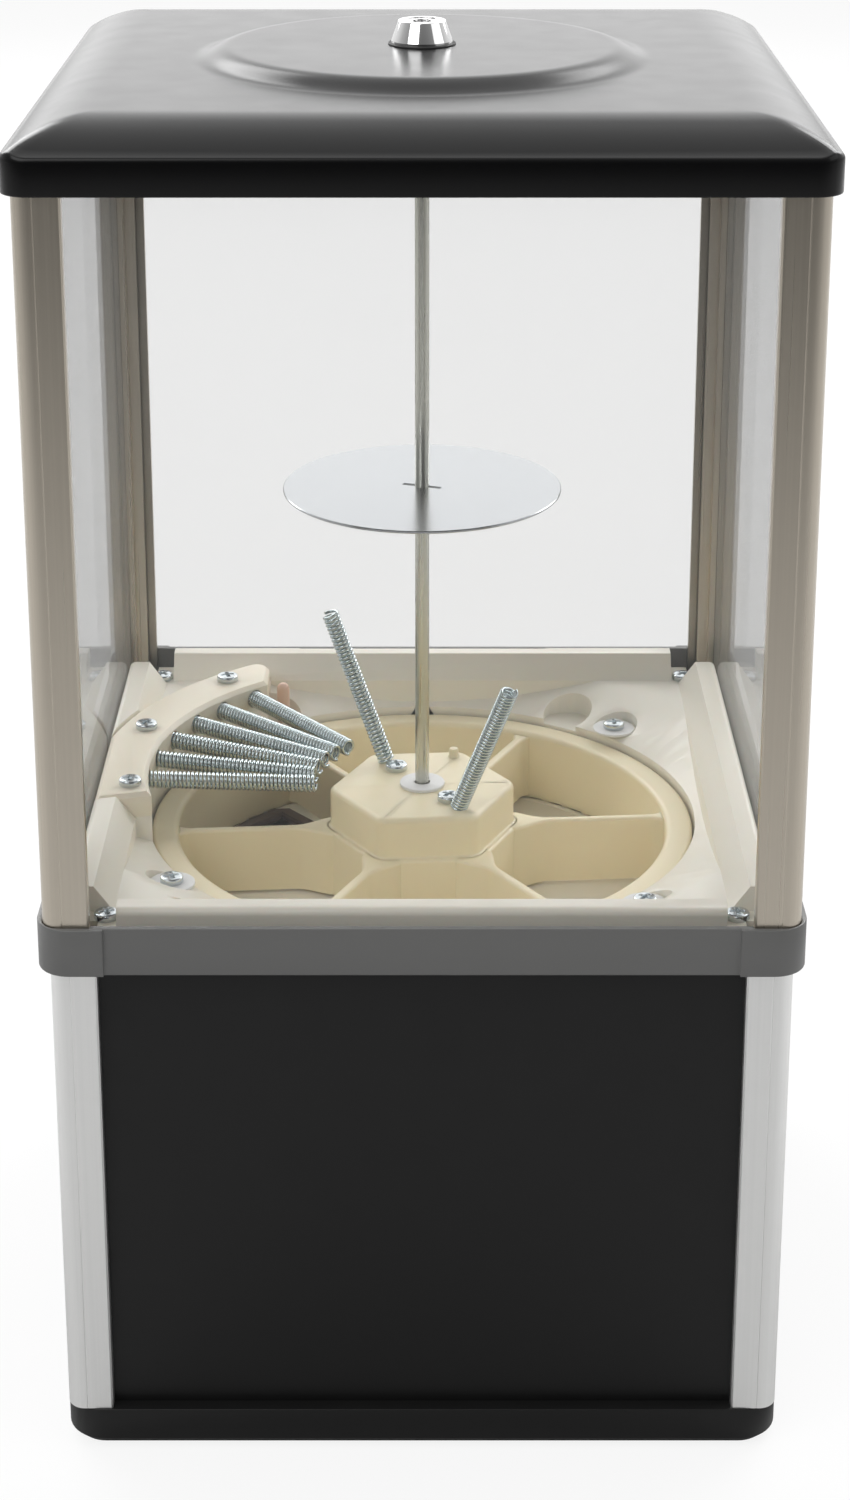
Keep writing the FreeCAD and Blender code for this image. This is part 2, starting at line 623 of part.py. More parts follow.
def make_wheel():
    """Six-compartment wheel: rim, spokes, and a stepped six-sided hub that is hollow from below."""
    rim = revolve([(RING_IN, WHEEL_BOTTOM), (WHEEL_R, WHEEL_BOTTOM), (WHEEL_R, RING_TOP), (RING_IN, RING_TOP)])
    save("wheel_rim", bevel_level(rim, RING_BEVEL, RING_TOP))
    ledge = round_upright(hexagon(HUB_LEDGE_R, WHEEL_BOTTOM, SPOKE_TOP), HUB_ROUND)
    half = SPOKE_THICK / 2
    root = HUB_LEDGE_R - SPOKE_FLARE
    outline = [(root, -half - SPOKE_FLARE), (SPOKE_FLARE_END, -half), (RING_IN + 1, -half)]
    outline += [(x, -y) for x, y in reversed(outline)]
    spoke = prism(outline, WHEEL_BOTTOM, SPOKE_TOP).common(cylinder(RING_IN, WHEEL_BOTTOM, SPOKE_TOP))
    turns = [WHEEL_PHASE + 360.0 * k / COMPARTMENTS for k in range(COMPARTMENTS)]
    save("wheel_spokes", *[turned(spoke, angle).cut(ledge) for angle in turns])
    crown = round_upright(hexagon(HUB_CORNER_R, SPOKE_TOP, HUB_TOP), HUB_ROUND)
    crown = bevel_level(crown, HUB_BEVEL, HUB_TOP)
    hollow = hexagon(HUB_CORNER_R - 2 * HUB_WALL, WHEEL_BOTTOM - 1, HUB_TOP - HUB_WALL)
    hollow = hollow.cut(cylinder(SLEEVE_R, WHEEL_BOTTOM, HUB_TOP))
    nub = cylinder(HUB_NUB_R, HUB_TOP - HUB_WALL, HUB_TOP + HUB_NUB_TALL, *polar(HUB_NUB_AT, HUB_NUB_ANGLE))
    hub = joined([ledge, crown, nub]).cut(hollow).cut(cylinder(ROD_R + RUN, 0, HUB_TOP + 1))
    screws = []
    for angle in (HUB_SCREW_ANGLE, HUB_SCREW_ANGLE + 180):
        x, y = polar(HUB_SCREW_R, angle)
        hub = hub.cut(screw_hole(x, y, HUB_TOP - HUB_WALL, HUB_TOP + 1))
        screws.append(pan_screw(x, y, HUB_TOP, HUB_WALL - SLIDE))
    for foot, top in AGITATORS:
        axis = (top - foot).normalize()
        hub = hub.cut(spring_room(foot - axis * AGITATOR_SOCKET, top, SLIDE))
    save("wheel_hub", hub)
    save("agitator_screws", *screws)
    washer_top = HUB_TOP + HUB_WASHER_THICK
    washer = cylinder(HUB_WASHER_R, HUB_TOP, washer_top)
    save("hub_washer", washer.cut(cylinder(ROD_R + RUN, HUB_TOP, washer_top)))


def make_gears():
    ring_top = WHEEL_BOTTOM
    ring = revolve([(GEAR_IN, GEAR_BOTTOM), (GEAR_OUT, GEAR_BOTTOM), (GEAR_OUT, ring_top), (GEAR_IN, ring_top)])
    gap_half = (2 * math.pi * PITCH_R / RING_TEETH - GEAR_TOOTH) / 2
    gap = box(-gap_half, gap_half, GEAR_IN - 2, GEAR_OUT + 2, GEAR_BOTTOM - 1, ring_top - GEAR_WEB)
    gaps = [turned(gap, 360.0 * k / RING_TEETH) for k in range(RING_TEETH)]
    save("wheel_gear_ring", ring.cut(Part.makeCompound(gaps)))
    outline = []
    flank = [(PINION_ROOT_R, PINION_ROOT_HALF), (PINION_TIP_R, PINION_TIP_HALF)]
    for k in range(PINION_TEETH):
        middle = 90.0 + 360.0 * k / PINION_TEETH
        outline += [polar(r, middle - math.degrees(half / r)) for r, half in flank]
        outline += [polar(r, middle + math.degrees(half / r)) for r, half in reversed(flank)]
    pinion = prism_y([(x, z + SHAFT_Z) for x, z in outline], *PINION_FACE)
    save("drive_gear", pinion.cut(along_y(SHAFT_R, *PINION_FACE)))


def make_rod():
    shank = cylinder(ROD_R, ROD_BOTTOM, ROD_HEAD[1])
    head = box(-ROD_HEAD_HALF[0], ROD_HEAD_HALF[0], -ROD_HEAD_HALF[1], ROD_HEAD_HALF[1], *ROD_HEAD)
    rod = joined([shank, head])
    pin_z = BAFFLE_Z - BAFFLE_PIN_R
    half = BAFFLE_PIN_LENGTH / 2
    start = Vector(*polar(half, BAFFLE_PIN_ANGLE + 180), pin_z)
    pin = Part.makeCylinder(BAFFLE_PIN_R, BAFFLE_PIN_LENGTH, start, Vector(*polar(1, BAFFLE_PIN_ANGLE), 0))
    save("center_rod", rod.cut(pin))
    save("baffle_pin", pin)
    disc = cylinder(BAFFLE_R, BAFFLE_Z, BAFFLE_Z + BAFFLE_THICK)
    keyway = box(-half - 0.5, half + 0.5, -BAFFLE_PIN_R - 0.2, BAFFLE_PIN_R + 0.2, BAFFLE_Z, BAFFLE_Z + 2)
    disc = disc.cut(cylinder(ROD_R + SLIDE, BAFFLE_Z, BAFFLE_Z + 2)).cut(turned(keyway, BAFFLE_PIN_ANGLE + 90))
    save("baffle_disc", disc)
    nut_tops = (WELL_FLOOR - WELL_BOSS_TALL, NUT_ROOM)
    save("rod_nuts", *[hex_nut(ROD_NUT_ACROSS, ROD_R, top - ROD_NUT_TALL, top) for top in nut_tops])


def lid_form(half, bottom, edge, flat, shoulder):
    """Two arched profiles carried across each other, which meet in four hips."""
    reach = half + 1

    def arch():
        bulge = 0.35
        left, right = Vector(-half, -reach, edge), Vector(half, -reach, edge)
        top_left, top_right = Vector(-half + shoulder, -reach, flat), Vector(half - shoulder, -reach, flat)
        middle = Vector(half - shoulder * (1 - bulge * 1.2), -reach, edge + (flat - edge) * 0.84)
        mirror = Vector(-middle.x, middle.y, middle.z)
        edges = [
            Part.LineSegment(Vector(-half, -reach, bottom), Vector(half, -reach, bottom)).toShape(),
            Part.LineSegment(Vector(half, -reach, bottom), right).toShape(),
            Part.Arc(right, middle, top_right).toShape(),
            Part.LineSegment(top_right, top_left).toShape(),
            Part.Arc(top_left, mirror, left).toShape(),
            Part.LineSegment(left, Vector(-half, -reach, bottom)).toShape(),
        ]
        return Part.Face(Part.Wire(edges)).extrude(Vector(0, 2 * reach, 0))

    across = arch()
    return across.common(turned(across, 90))


def make_lid():
    outer = lid_form(LID_HALF, LID_BOTTOM, LID_EDGE, LID_FLAT, LID_SHOULDER)
    outer = outer.common(rounded_square(LID_HALF, LID_CORNER, LID_BOTTOM - 1, LID_PLATEAU + 1))
    plateau = revolve([(0, LID_FLAT - 1), (PLATEAU_R_LOW, LID_FLAT - 1), (PLATEAU_R_LOW, LID_FLAT),
                       (PLATEAU_R_TOP, LID_PLATEAU), (0, LID_PLATEAU)])
    inner = lid_form(LID_HALF - LID_WALL, LID_BOTTOM - 1, LID_EDGE - LID_WALL, LID_FLAT - LID_WALL, LID_SHOULDER)
    room = revolve([(0, LID_FLAT - 4), (PLATEAU_R_LOW - 1, LID_FLAT - 4), (PLATEAU_R_LOW - 1, LID_FLAT - LID_WALL),
                    (PLATEAU_R_TOP - 1, LID_PLATEAU - LID_WALL), (0, LID_PLATEAU - LID_WALL)])
    pad = round_upright(box(107, 121.5, 107, 121.5, LID_BOTTOM + 2, LID_EDGE), 5.0)
    shell = outer.fuse(plateau).cut(inner).cut(room)
    body = joined([shell] + [p.common(outer) for p in four_turns(pad)])
    save("lid", body.cut(cylinder(LOCK_BARREL_R + SLIDE, LID_BOTTOM, LID_PLATEAU + 1)))


def make_lock():
    seat = LID_PLATEAU
    barrel_bottom = 446.0
    top = seat + LOCK_TALL
    body = revolve([(LOCK_BORE_R + SLIDE, barrel_bottom), (LOCK_BARREL_R, barrel_bottom), (LOCK_BARREL_R, seat),
                    (LOCK_BASE_R, seat), (LOCK_BASE_R, seat + 1.2), (LOCK_TOP_R, top), (LOCK_BORE_R + SLIDE, top)])
    save("lock_body", body)
    under_lid = LID_PLATEAU - LID_WALL
    save("lock_nut", hex_nut(22.0, LOCK_BARREL_R, under_lid - 4, under_lid))
    plug = cylinder(LOCK_BORE_R, barrel_bottom, top)
    room_top = ROD_HEAD[1] + 3.5
    plug = plug.cut(cylinder(LOCK_BORE_R - 0.8, barrel_bottom + 2, room_top))
    slot = box(-ROD_HEAD_HALF[0] - RUN, ROD_HEAD_HALF[0] + RUN, -ROD_HEAD_HALF[1] - RUN, ROD_HEAD_HALF[1] + RUN,
               barrel_bottom, room_top)
    plug = plug.cut(slot).cut(cylinder(ROD_R + RUN, barrel_bottom, room_top))
    save("lock_plug", plug.cut(cylinder(KEYHOLE_R, top - 4, top + 1)))


def faceplate_corners():
    return [(x * FACEPLATE_SCREW_AT, SHAFT_Z + z * FACEPLATE_SCREW_AT) for x in (-1, 1) for z in (-1, 1)]


def rounded_plate(x0, x1, z0, z1, y0, y1, r):
    plate = box(x0, x1, y0, y1, z0, z1)
    edges = [e for e in plate.Edges if abs(e.Vertexes[0].Y - e.Vertexes[-1].Y) > 1e-6]
    return plate.makeFillet(r, edges)


def screw_from_front(x, z, y, length):
    screw = pan_screw(0, 0, 0, length)
    screw.rotate(Vector(0, 0, 0), Vector(1, 0, 0), -90)
    screw.translate(Vector(x, y, z))
    return screw


def make_coin_front():
    face = PANEL_FACE + FACEPLATE_THICK
    plate = rounded_plate(-FACEPLATE_HALF, FACEPLATE_HALF, SHAFT_Z - FACEPLATE_HALF, SHAFT_Z + FACEPLATE_HALF,
                          PANEL_FACE, face, 10.0)
    plate = plate.makeChamfer(1.5, [e for e in plate.Edges if all(v.Y > face - 1e-6 for v in e.Vertexes)])
    bezel = along_y(24, face - 1, face + 2).cut(along_y(HANDLE_DISC_R + 1, face, face + 2))
    plate = joined([plate, bezel])
    plate = plate.cut(along_y(COIN_R, PANEL_FACE - 1, face + 3, 0, SHAFT_Z + COIN_AT + 1).cut(
        along_y(HANDLE_DISC_R + 3, PANEL_FACE - 1, face + 3)))
    plate = plate.cut(along_y(SHAFT_R + RUN, PANEL_FACE - 1, face + 1))
    screws = []
    for x, z in faceplate_corners():
        plate = plate.cut(screw_hole_y(x, z, PANEL_FACE - 1, face + 1))
        screws.append(screw_from_front(x, z, face, face - PANEL_BACK + FLANGE_THICK))
    save("coin_faceplate", plate)
    save("faceplate_screws", *screws)


def make_coin_handle():
    """Turning handle: round boss with a tapered finger grip, on a stepped shaft."""
    start = PANEL_FACE + FACEPLATE_THICK + RUN
    boss = along_y(HANDLE_DISC_R, start, start + 7)
    boss = boss.makeChamfer(1.8, [e for e in boss.Edges if all(v.Y > start + 6 for v in e.Vertexes)])
    root = [Vector(15 * x, start + 5, SHAFT_Z + 4.5 * z) for x, z in QUADRANTS]
    end = [Vector(17 * x, HANDLE_REACH, SHAFT_Z + 2.5 * z) for x, z in QUADRANTS]
    grip = frustum(root, end)
    grip = grip.makeChamfer(1.2, [e for e in grip.Edges if all(v.Y > HANDLE_REACH - 1e-6 for v in e.Vertexes)])
    shaft_front = start + 8
    handle = joined([boss, grip]).cut(along_y(SHAFT_R, start - 1, shaft_front))
    save("coin_handle", handle)
    shaft_rear = PINION_FACE[0] - 4
    groove = along_y(SHAFT_R + 1, PINION_FACE[0] - 2, PINION_FACE[0] - 1).cut(
        along_y(SHAFT_R - 1, PINION_FACE[0] - 2, PINION_FACE[0] - 1))
    save("handle_shaft", along_y(SHAFT_R, shaft_rear, shaft_front).cut(groove))
    clip = along_y(SHAFT_R + 2.5, PINION_FACE[0] - 2, PINION_FACE[0] - 1)
    clip = clip.cut(along_y(SHAFT_R - 1, PINION_FACE[0] - 2, PINION_FACE[0] - 1))
    mouth = box(-2, 2, PINION_FACE[0] - 3, PINION_FACE[0], SHAFT_Z - 8, SHAFT_Z)
    save("shaft_clip", clip.cut(mouth))


def make_coin_works():
    """What lies behind the front panel on the shaft: carrier, cup, bush, ratchet and pawl."""
    carrier = along_y(CARRIER_R, *CARRIER_Y).cut(along_y(SHAFT_R, *CARRIER_Y))
    pocket = along_y(COIN_R, *CARRIER_Y, 0, SHAFT_Z + COIN_AT)
    mouth = box(-COIN_R, COIN_R, *CARRIER_Y, SHAFT_Z + COIN_AT, SHAFT_Z + CARRIER_R + 1)
    save("coin_carrier", carrier.cut(pocket).cut(mouth))
    bush_r = SHAFT_R + 3
    outside = HOUSING_R + HOUSING_WALL
    cup = along_y(outside, HOUSING_BACK, PANEL_BACK)
    cup = cup.cut(along_y(HOUSING_R, HOUSING_BACK + 2, PANEL_BACK + 1))
    flange = rounded_plate(-FACEPLATE_HALF, FACEPLATE_HALF, SHAFT_Z - FACEPLATE_HALF, SHAFT_Z + FACEPLATE_HALF,
                           PANEL_BACK - FLANGE_THICK, PANEL_BACK, 10.0)
    flange = flange.cut(along_y(HOUSING_R, PANEL_BACK - 5, PANEL_BACK + 1))
    housing = joined([cup, flange]).cut(along_y(bush_r, HOUSING_BACK - 1, HOUSING_BACK + 3))
    coin_exit = box(-COIN_R - 1, COIN_R + 1, HOUSING_BACK + 2, PANEL_BACK - FLANGE_THICK - 0.5,
                    SHAFT_Z - outside - 1, SHAFT_Z - HOUSING_R + 6)
    housing = housing.cut(coin_exit)
    for x, z in faceplate_corners():
        housing = housing.cut(screw_hole_y(x, z, PANEL_BACK - 5, PANEL_BACK + 1))
    pivot_x, pivot_z = PAWL_PIVOT[0], SHAFT_Z + PAWL_PIVOT[1]
    housing = housing.cut(along_y(PAWL_PIN_R, HOUSING_BACK, HOUSING_BACK + 2, pivot_x, pivot_z))
    save("coin_housing", housing)
    bush = along_y(bush_r, HOUSING_BACK - 1, HOUSING_BACK + 2.8)
    save("shaft_bush", bush.cut(along_y(SHAFT_R + PIN_FIT, HOUSING_BACK - 2, HOUSING_BACK + 3)))
    outline = []
    for k in range(RATCHET_TEETH):
        tooth = PAWL_ANGLE + 360.0 * k / RATCHET_TEETH
        outline.append(polar(RATCHET_ROOT_R, tooth))
        outline.append(polar(RATCHET_R, tooth + 2))
        outline.append(polar(RATCHET_ROOT_R, tooth + 38))
    ratchet = prism_y([(x, z + SHAFT_Z) for x, z in outline], *RATCHET_Y)
    save("ratchet_wheel", ratchet.cut(along_y(SHAFT_R, *RATCHET_Y)))
    make_pawl(pivot_x, pivot_z)


def make_pawl(pivot_x, pivot_z):
    """Pawl drawn with its nose in a gap of the ratchet, then swung clear of the teeth on its pin."""
    tip = polar(RATCHET_ROOT_R + 0.55, PAWL_ANGLE - 2.5)
    heel = polar(RATCHET_R + 0.6, PAWL_ANGLE - 1)
    outline = [tip, (PAWL_PIVOT[0] - 1, PAWL_PIVOT[1]), (PAWL_PIVOT[0] + 3, PAWL_PIVOT[1]), heel]
    arm = prism_y([(x, z + SHAFT_Z) for x, z in outline], *RATCHET_Y)
    pawl = joined([along_y(PAWL_EYE_R, *RATCHET_Y, pivot_x, pivot_z), arm])
    pawl = pawl.cut(along_y(PAWL_PIN_R + PIN_FIT, *RATCHET_Y, pivot_x, pivot_z))
    pawl.rotate(Vector(pivot_x, 0, pivot_z), Vector(0, 1, 0), PAWL_LIFT)
    save("ratchet_pawl", pawl)
    pin = along_y(PAWL_PIN_R, RATCHET_Y[0] - 1.2, HOUSING_BACK + 2, pivot_x, pivot_z)
    cap = along_y(PAWL_PIN_R + 1, RATCHET_Y[0] - 1.2, RATCHET_Y[0] - RUN, pivot_x, pivot_z)
    save("pawl_pin", joined([pin, cap]))
    coil = along_y(PAWL_SPRING_R, RATCHET_Y[1] + RUN, HOUSING_BACK, pivot_x, pivot_z)
    save("pawl_spring", coil.cut(along_y(PAWL_PIN_R + SLIDE, RATCHET_Y[1], HOUSING_BACK, pivot_x, pivot_z)))


def chute_outline(inset):
    """Side view of the chute as (y, z): a straight drop, then a slide to the door."""
    back, front = CHUTE_BACK + inset, CHUTE_FRONT - inset
    low = CHUTE_FLOOR_FRONT + inset * 1.15
    high = DOOR_Z[1] + CHUTE_WALL - inset
    reach = PANEL_BACK if inset == 0 else PANEL_BACK + 1
    top = SPOUT_BOTTOM - 0.1 if inset == 0 else SPOUT_BOTTOM + 1
    return [(back, top), (front, top), (front, CHUTE_ROOF_BACK - inset), (reach, high), (reach, low),
            (back, CHUTE_FLOOR_BACK + inset * 1.15)]


def make_chute():
    outer = prism_x(chute_outline(0.0), *CHUTE_X)
    inner = prism_x(chute_outline(CHUTE_WALL), CHUTE_X[0] + CHUTE_WALL, CHUTE_X[1] - CHUTE_WALL)
    save("chute", outer.cut(inner))


def door_frame_corners():
    inset = DOOR_FRAME_BORDER / 2
    return [(x, z) for x in (DOOR_X[0] - inset, DOOR_X[1] + inset) for z in (DOOR_Z[0] + 4, DOOR_Z[1] - 12)]


def make_door():
    border = DOOR_FRAME_BORDER
    front = PANEL_FACE + DOOR_FRAME_THICK
    opening_top = HINGE_Z + BARREL_R + 0.6
    frame = rounded_plate(DOOR_X[0] - border, DOOR_X[1] + border, DOOR_Z[0] - border, opening_top + 3.0,
                          PANEL_FACE, front, 2.5)
    frame = frame.makeChamfer(1.2, [e for e in frame.Edges if all(v.Y > front - 1e-6 for v in e.Vertexes)])
    frame = frame.cut(box(*DOOR_X, PANEL_FACE - 1, front + 1, DOOR_Z[0], opening_top))
    pin = along_x(HINGE_PIN_R, DOOR_X[0] - 4, DOOR_X[1] + 4, HINGE_Y, HINGE_Z)
    frame = frame.cut(pin)
    screws = []
    for x, z in door_frame_corners():
        frame = frame.cut(screw_hole_y(x, z, PANEL_FACE - 1, front + 1))
        screws.append(screw_from_front(x, z, front, front - PANEL_BACK))
    save("door_frame", frame)
    save("door_frame_screws", *screws)
    save("door_hinge_pin", pin)
    left, right = DOOR_X[0] + 0.4, DOOR_X[1] - 0.4
    flap_back = HINGE_Y - DOOR_THICK / 2
    flap = box(left, right, flap_back, flap_back + DOOR_THICK, DOOR_Z[0] + 0.5, HINGE_Z)
    barrel = along_x(BARREL_R, left, right, HINGE_Y, HINGE_Z)
    pull_y = flap_back + DOOR_THICK
    pull = prism_x([(pull_y, DOOR_Z[0] + 6), (pull_y + 8, DOOR_Z[0] + 3), (pull_y + 8, DOOR_Z[0] + 5.5),
                    (pull_y, DOOR_Z[0] + 12)], left + 12, right - 12)
    door = joined([flap, barrel, pull])
    save("chute_door", door.cut(along_x(HINGE_PIN_R + PIN_FIT, left - 1, right + 1, HINGE_Y, HINGE_Z)))


def biarc(p0, t0, p1, t1):
    """Two tangent arcs from p0 heading t0 to p1 heading t1, as (start, middle, end) points."""
    v = p1 - p0
    both = t0 + t1
    spread = 2 * (1 - t0.dot(t1))
    reach = (-v.dot(both) + math.sqrt(v.dot(both) ** 2 + spread * v.dot(v))) / spread
    knee = (p0 + p1 + (t0 - t1) * reach) * 0.5

    def arc(a, heading, b):
        chord = b - a
        side = (chord - heading * chord.dot(heading)).normalize()
        r = chord.dot(chord) / (2 * chord.dot(side))
        centre = a + side * r
        middle = centre + (a + b - centre * 2).normalize() * r
        return a, middle, b

    first = arc(p0, t0, knee)
    last = arc(p1, t1 * -1, knee)
    return [first, (knee, last[1], p1)]


def spring(start, tip, curls):
    """A helix of few curls between two points, whose ends bend in and run straight along its axis."""
    axis = (tip - start).normalize()
    side = axis.cross(Vector(0, 0, 1)).normalize()
    up = axis.cross(side)
    coil_r = SPRING_R - WIRE_R
    tail = 2 * WIRE_R
    length = (tip - start).Length - 2 * SPRING_LEAD
    steps = curls * 2

    def off_axis(turn, r):
        return (side * math.cos(turn) + up * math.sin(turn)) * r

    def place(k):
        return start + axis * (SPRING_LEAD + length * k / steps) + off_axis(math.pi * k, coil_r)

    def heading(k):
        around = off_axis(math.pi * (k + 0.5), coil_r * math.pi)
        return (around + axis * (length / steps)).normalize()

    first = start + off_axis(-1.2, coil_r * 0.7)
    last = tip + off_axis(1.2, coil_r * 0.7)
    turns = [biarc(first + axis * tail, axis, place(0), heading(0))]
    turns += [biarc(place(k), heading(k), place(k + 1), heading(k + 1)) for k in range(steps)]
    turns.append(biarc(place(steps), heading(steps), last - axis * tail, axis))
    arcs = [Part.Arc(*points).toShape() for pair in turns for points in pair]
    ends = [Part.LineSegment(first, first + axis * tail), Part.LineSegment(last - axis * tail, last)]
    path = Part.Wire([ends[0].toShape()] + arcs + [ends[1].toShape()])
    ring = []
    for k in range(WIRE_SIDES + 1):
        turn = 2 * math.pi * (k + 0.5) / WIRE_SIDES
        ring.append(first + off_axis(turn, WIRE_R))
    tube = path.makePipeShell([Part.makePolygon(ring)], True, False)
    points = [point for arc in arcs for point in arc.discretize(7)[:-1]]
    return tube, least_gap(points), min(arc.Curve.Radius for arc in arcs)


def least_gap(points):
    """The least distance between a wire's surface and itself, on points at least half a curl apart."""
    apart = 13
    least = min((points[i] - points[j]).Length for i in range(len(points)) for j in range(i + apart, len(points)))
    return least - 2 * WIRE_R


def make_springs():
    made = {"brush_springs": [spring(start, tip, SPRING_CURLS) for start, tip in brush_lines()]}
    made["agitator_springs"] = [spring(foot, top, SPRING_CURLS) for foot, top in AGITATORS]
    for node, coils in made.items():
        save(node, *[tube for tube, gap, bend in coils])
        gap = min(gap for tube, gap, bend in coils)
        bend = min(bend for tube, gap, bend in coils)
        print(f"  least gap {gap:.2f} mm, tightest bend {bend:.2f} mm")


def main():
    os.makedirs("parts", exist_ok=True)
    make_base()
    make_posts_and_sheets()
    make_collar()
    make_tray()
    make_tray_fasteners()
    make_spring_cover()
    make_wheel()
    make_gears()
    make_rod()
    make_lid()
    make_lock()
    make_coin_front()
    make_coin_handle()
    make_coin_works()
    make_chute()
    make_door()
    make_springs()


main()
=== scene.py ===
# %% [markdown]
# # A square gumball machine, dressed for its picture
# The real machine is a black base, a cabinet of black sheets between aluminium posts, a grey collar, a
# clear square hopper and a black moulded lid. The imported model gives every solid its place. This lesson
# keeps that place for each piece and adds what a solid modeller leaves plain: soft edges, wound springs,
# screw recesses and finishes.

# %% Load the frame and keep its box
import json
import math

import bmesh
import bpy
import numpy as np
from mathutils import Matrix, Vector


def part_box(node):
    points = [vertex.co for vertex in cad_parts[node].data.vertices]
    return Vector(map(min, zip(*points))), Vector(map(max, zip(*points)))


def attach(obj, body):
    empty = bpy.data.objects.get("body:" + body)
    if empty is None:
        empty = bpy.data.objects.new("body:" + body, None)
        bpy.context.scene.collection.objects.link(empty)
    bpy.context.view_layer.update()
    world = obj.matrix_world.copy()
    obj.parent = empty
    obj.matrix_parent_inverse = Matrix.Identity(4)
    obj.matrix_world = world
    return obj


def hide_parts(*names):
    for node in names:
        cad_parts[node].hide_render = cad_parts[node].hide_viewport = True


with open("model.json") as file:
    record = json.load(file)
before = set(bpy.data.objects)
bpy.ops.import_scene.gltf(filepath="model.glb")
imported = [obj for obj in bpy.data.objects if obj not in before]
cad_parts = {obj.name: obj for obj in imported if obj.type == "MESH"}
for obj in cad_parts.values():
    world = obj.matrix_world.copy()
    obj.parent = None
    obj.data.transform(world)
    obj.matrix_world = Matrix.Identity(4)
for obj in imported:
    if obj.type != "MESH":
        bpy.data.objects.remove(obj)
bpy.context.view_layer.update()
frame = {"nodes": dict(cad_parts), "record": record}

MM = 0.001
members_of_body = frame["record"]["behaviour"]["bodies"]
body_of_node = {node: body for body, members in members_of_body.items() for node in members}

# %% [markdown]
# ## From arrays to pieces
# Every new shape below is a set of rings: an array with one row per ring and one column per point round
# it. Neighbouring rings are joined by four-sided faces. One could build each piece face by face, but whole
# arrays are shorter to write and the formula stays in view. Doubled points are merged at the end, which
# closes seams and poles.


# %% Rings and caps
def joined_rings(rings, wrap=False):
    """Four-sided faces between neighbouring rings; with wrap, the last ring also joins the first."""
    index = np.arange(rings.shape[0] * rings.shape[1]).reshape(rings.shape[:2])
    lower = index if wrap else index[:-1]
    upper = np.roll(index, -1, 0) if wrap else index[1:]
    faces = np.stack([lower, np.roll(lower, -1, 1), np.roll(upper, -1, 1), upper], -1)
    return rings.reshape(-1, 3), faces.reshape(-1, 4)


def cap(ring):
    """One flat many-sided face over a closed ring."""
    return ring, np.arange(len(ring))[None]


print("three rings of twelve points have", len(joined_rings(np.zeros((3, 12, 3)))[1]), "faces")

# %% Finished pieces
MERGE_DISTANCE = 2e-6


def in_scene(name, data):
    """An object that holds a mesh, a lamp or a camera, linked to the scene."""
    obj = bpy.data.objects.new(name, data)
    bpy.context.scene.collection.objects.link(obj)
    return obj


def coat(obj, finish):
    """Makes a finish the only material of an object."""
    obj.data.materials.clear()
    obj.data.materials.append(finish)


def dressed(obj, finish, node):
    """Gives a piece its finish, and the body of the node it belongs to."""
    coat(obj, finish)
    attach(obj, body_of_node[node])


def piece(name, blocks, finish, node, replaces=True, sharp=40.0):
    """One object from (points in mm, faces) blocks: merged, turned outwards, smooth below an angle."""
    starts = np.cumsum([0] + [len(points) for points, _ in blocks])
    points = np.concatenate([points for points, _ in blocks]) * MM
    faces = [row for (_, faces), start in zip(blocks, starts) for row in (faces + start).tolist()]
    mesh = bpy.data.meshes.new(name)
    mesh.from_pydata(points.tolist(), [], faces)
    shell = bmesh.new()
    shell.from_mesh(mesh)
    bmesh.ops.remove_doubles(shell, verts=shell.verts, dist=MERGE_DISTANCE)
    bmesh.ops.recalc_face_normals(shell, faces=shell.faces)
    shell.to_mesh(mesh)
    shell.free()
    mesh.shade_smooth()
    mesh.set_sharp_from_angle(angle=math.radians(sharp))
    obj = in_scene(name, mesh)
    dressed(obj, finish, node)
    if replaces:
        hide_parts(node)
    print(f"{name}: {len(mesh.polygons)} faces")


print("points within", MERGE_DISTANCE / MM, "mm of each other become one")

# %% [markdown]
# ## Profiles
# A moulded or pressed edge is never a knife edge. A profile is written as a few corners with a radius each,
# and the corners are then replaced by arcs. A turned piece carries the profile round an axis, and a
# stacked piece carries an outline up a list of insets and heights.

# %% Rounded outlines
TINY = 1e-6


def rounded(corners, radii, steps=6):
    """Closed outline with arcs for corners: each touches both sides, with its centre on the bisector."""
    at = np.asarray(corners, float)
    r = np.broadcast_to(np.asarray(radii, float), len(at))[:, None]
    back, ahead = np.roll(at, 1, 0) - at, np.roll(at, -1, 0) - at
    back /= np.linalg.norm(back, axis=1)[:, None]
    ahead /= np.linalg.norm(ahead, axis=1)[:, None]
    half = np.arccos(np.clip((back * ahead).sum(1), -1, 1))[:, None] / 2
    middle = back + ahead
    middle /= np.maximum(np.linalg.norm(middle, axis=1)[:, None], TINY)
    centre = at + middle * r / np.sin(half)
    first, last = at + back * r / np.tan(half) - centre, at + ahead * r / np.tan(half) - centre
    sweep = (np.pi - 2 * half)[:, None]
    part = np.linspace(0, 1, steps)[None, :, None]
    weighed = np.sin((1 - part) * sweep) * first[:, None] + np.sin(part * sweep) * last[:, None]
    return (centre[:, None] + weighed / np.sin(sweep)).reshape(-1, 2)


def with_points_every(outline, spacing):
    """The same closed outline with extra points along its straight sides."""
    loop = np.vstack([outline, outline[:1]])
    along = np.concatenate([[0], np.cumsum(np.linalg.norm(np.diff(loop, axis=0), axis=1))])
    wanted = np.unique(np.round(np.concatenate([along, np.arange(0, along[-1], spacing)]), 4))[:-1]
    return np.stack([np.interp(wanted, along, loop[:, k]) for k in range(2)], -1)


print("a square with round corners has", len(rounded([(0, 0), (9, 0), (9, 9), (0, 9)], 2.0)), "points")


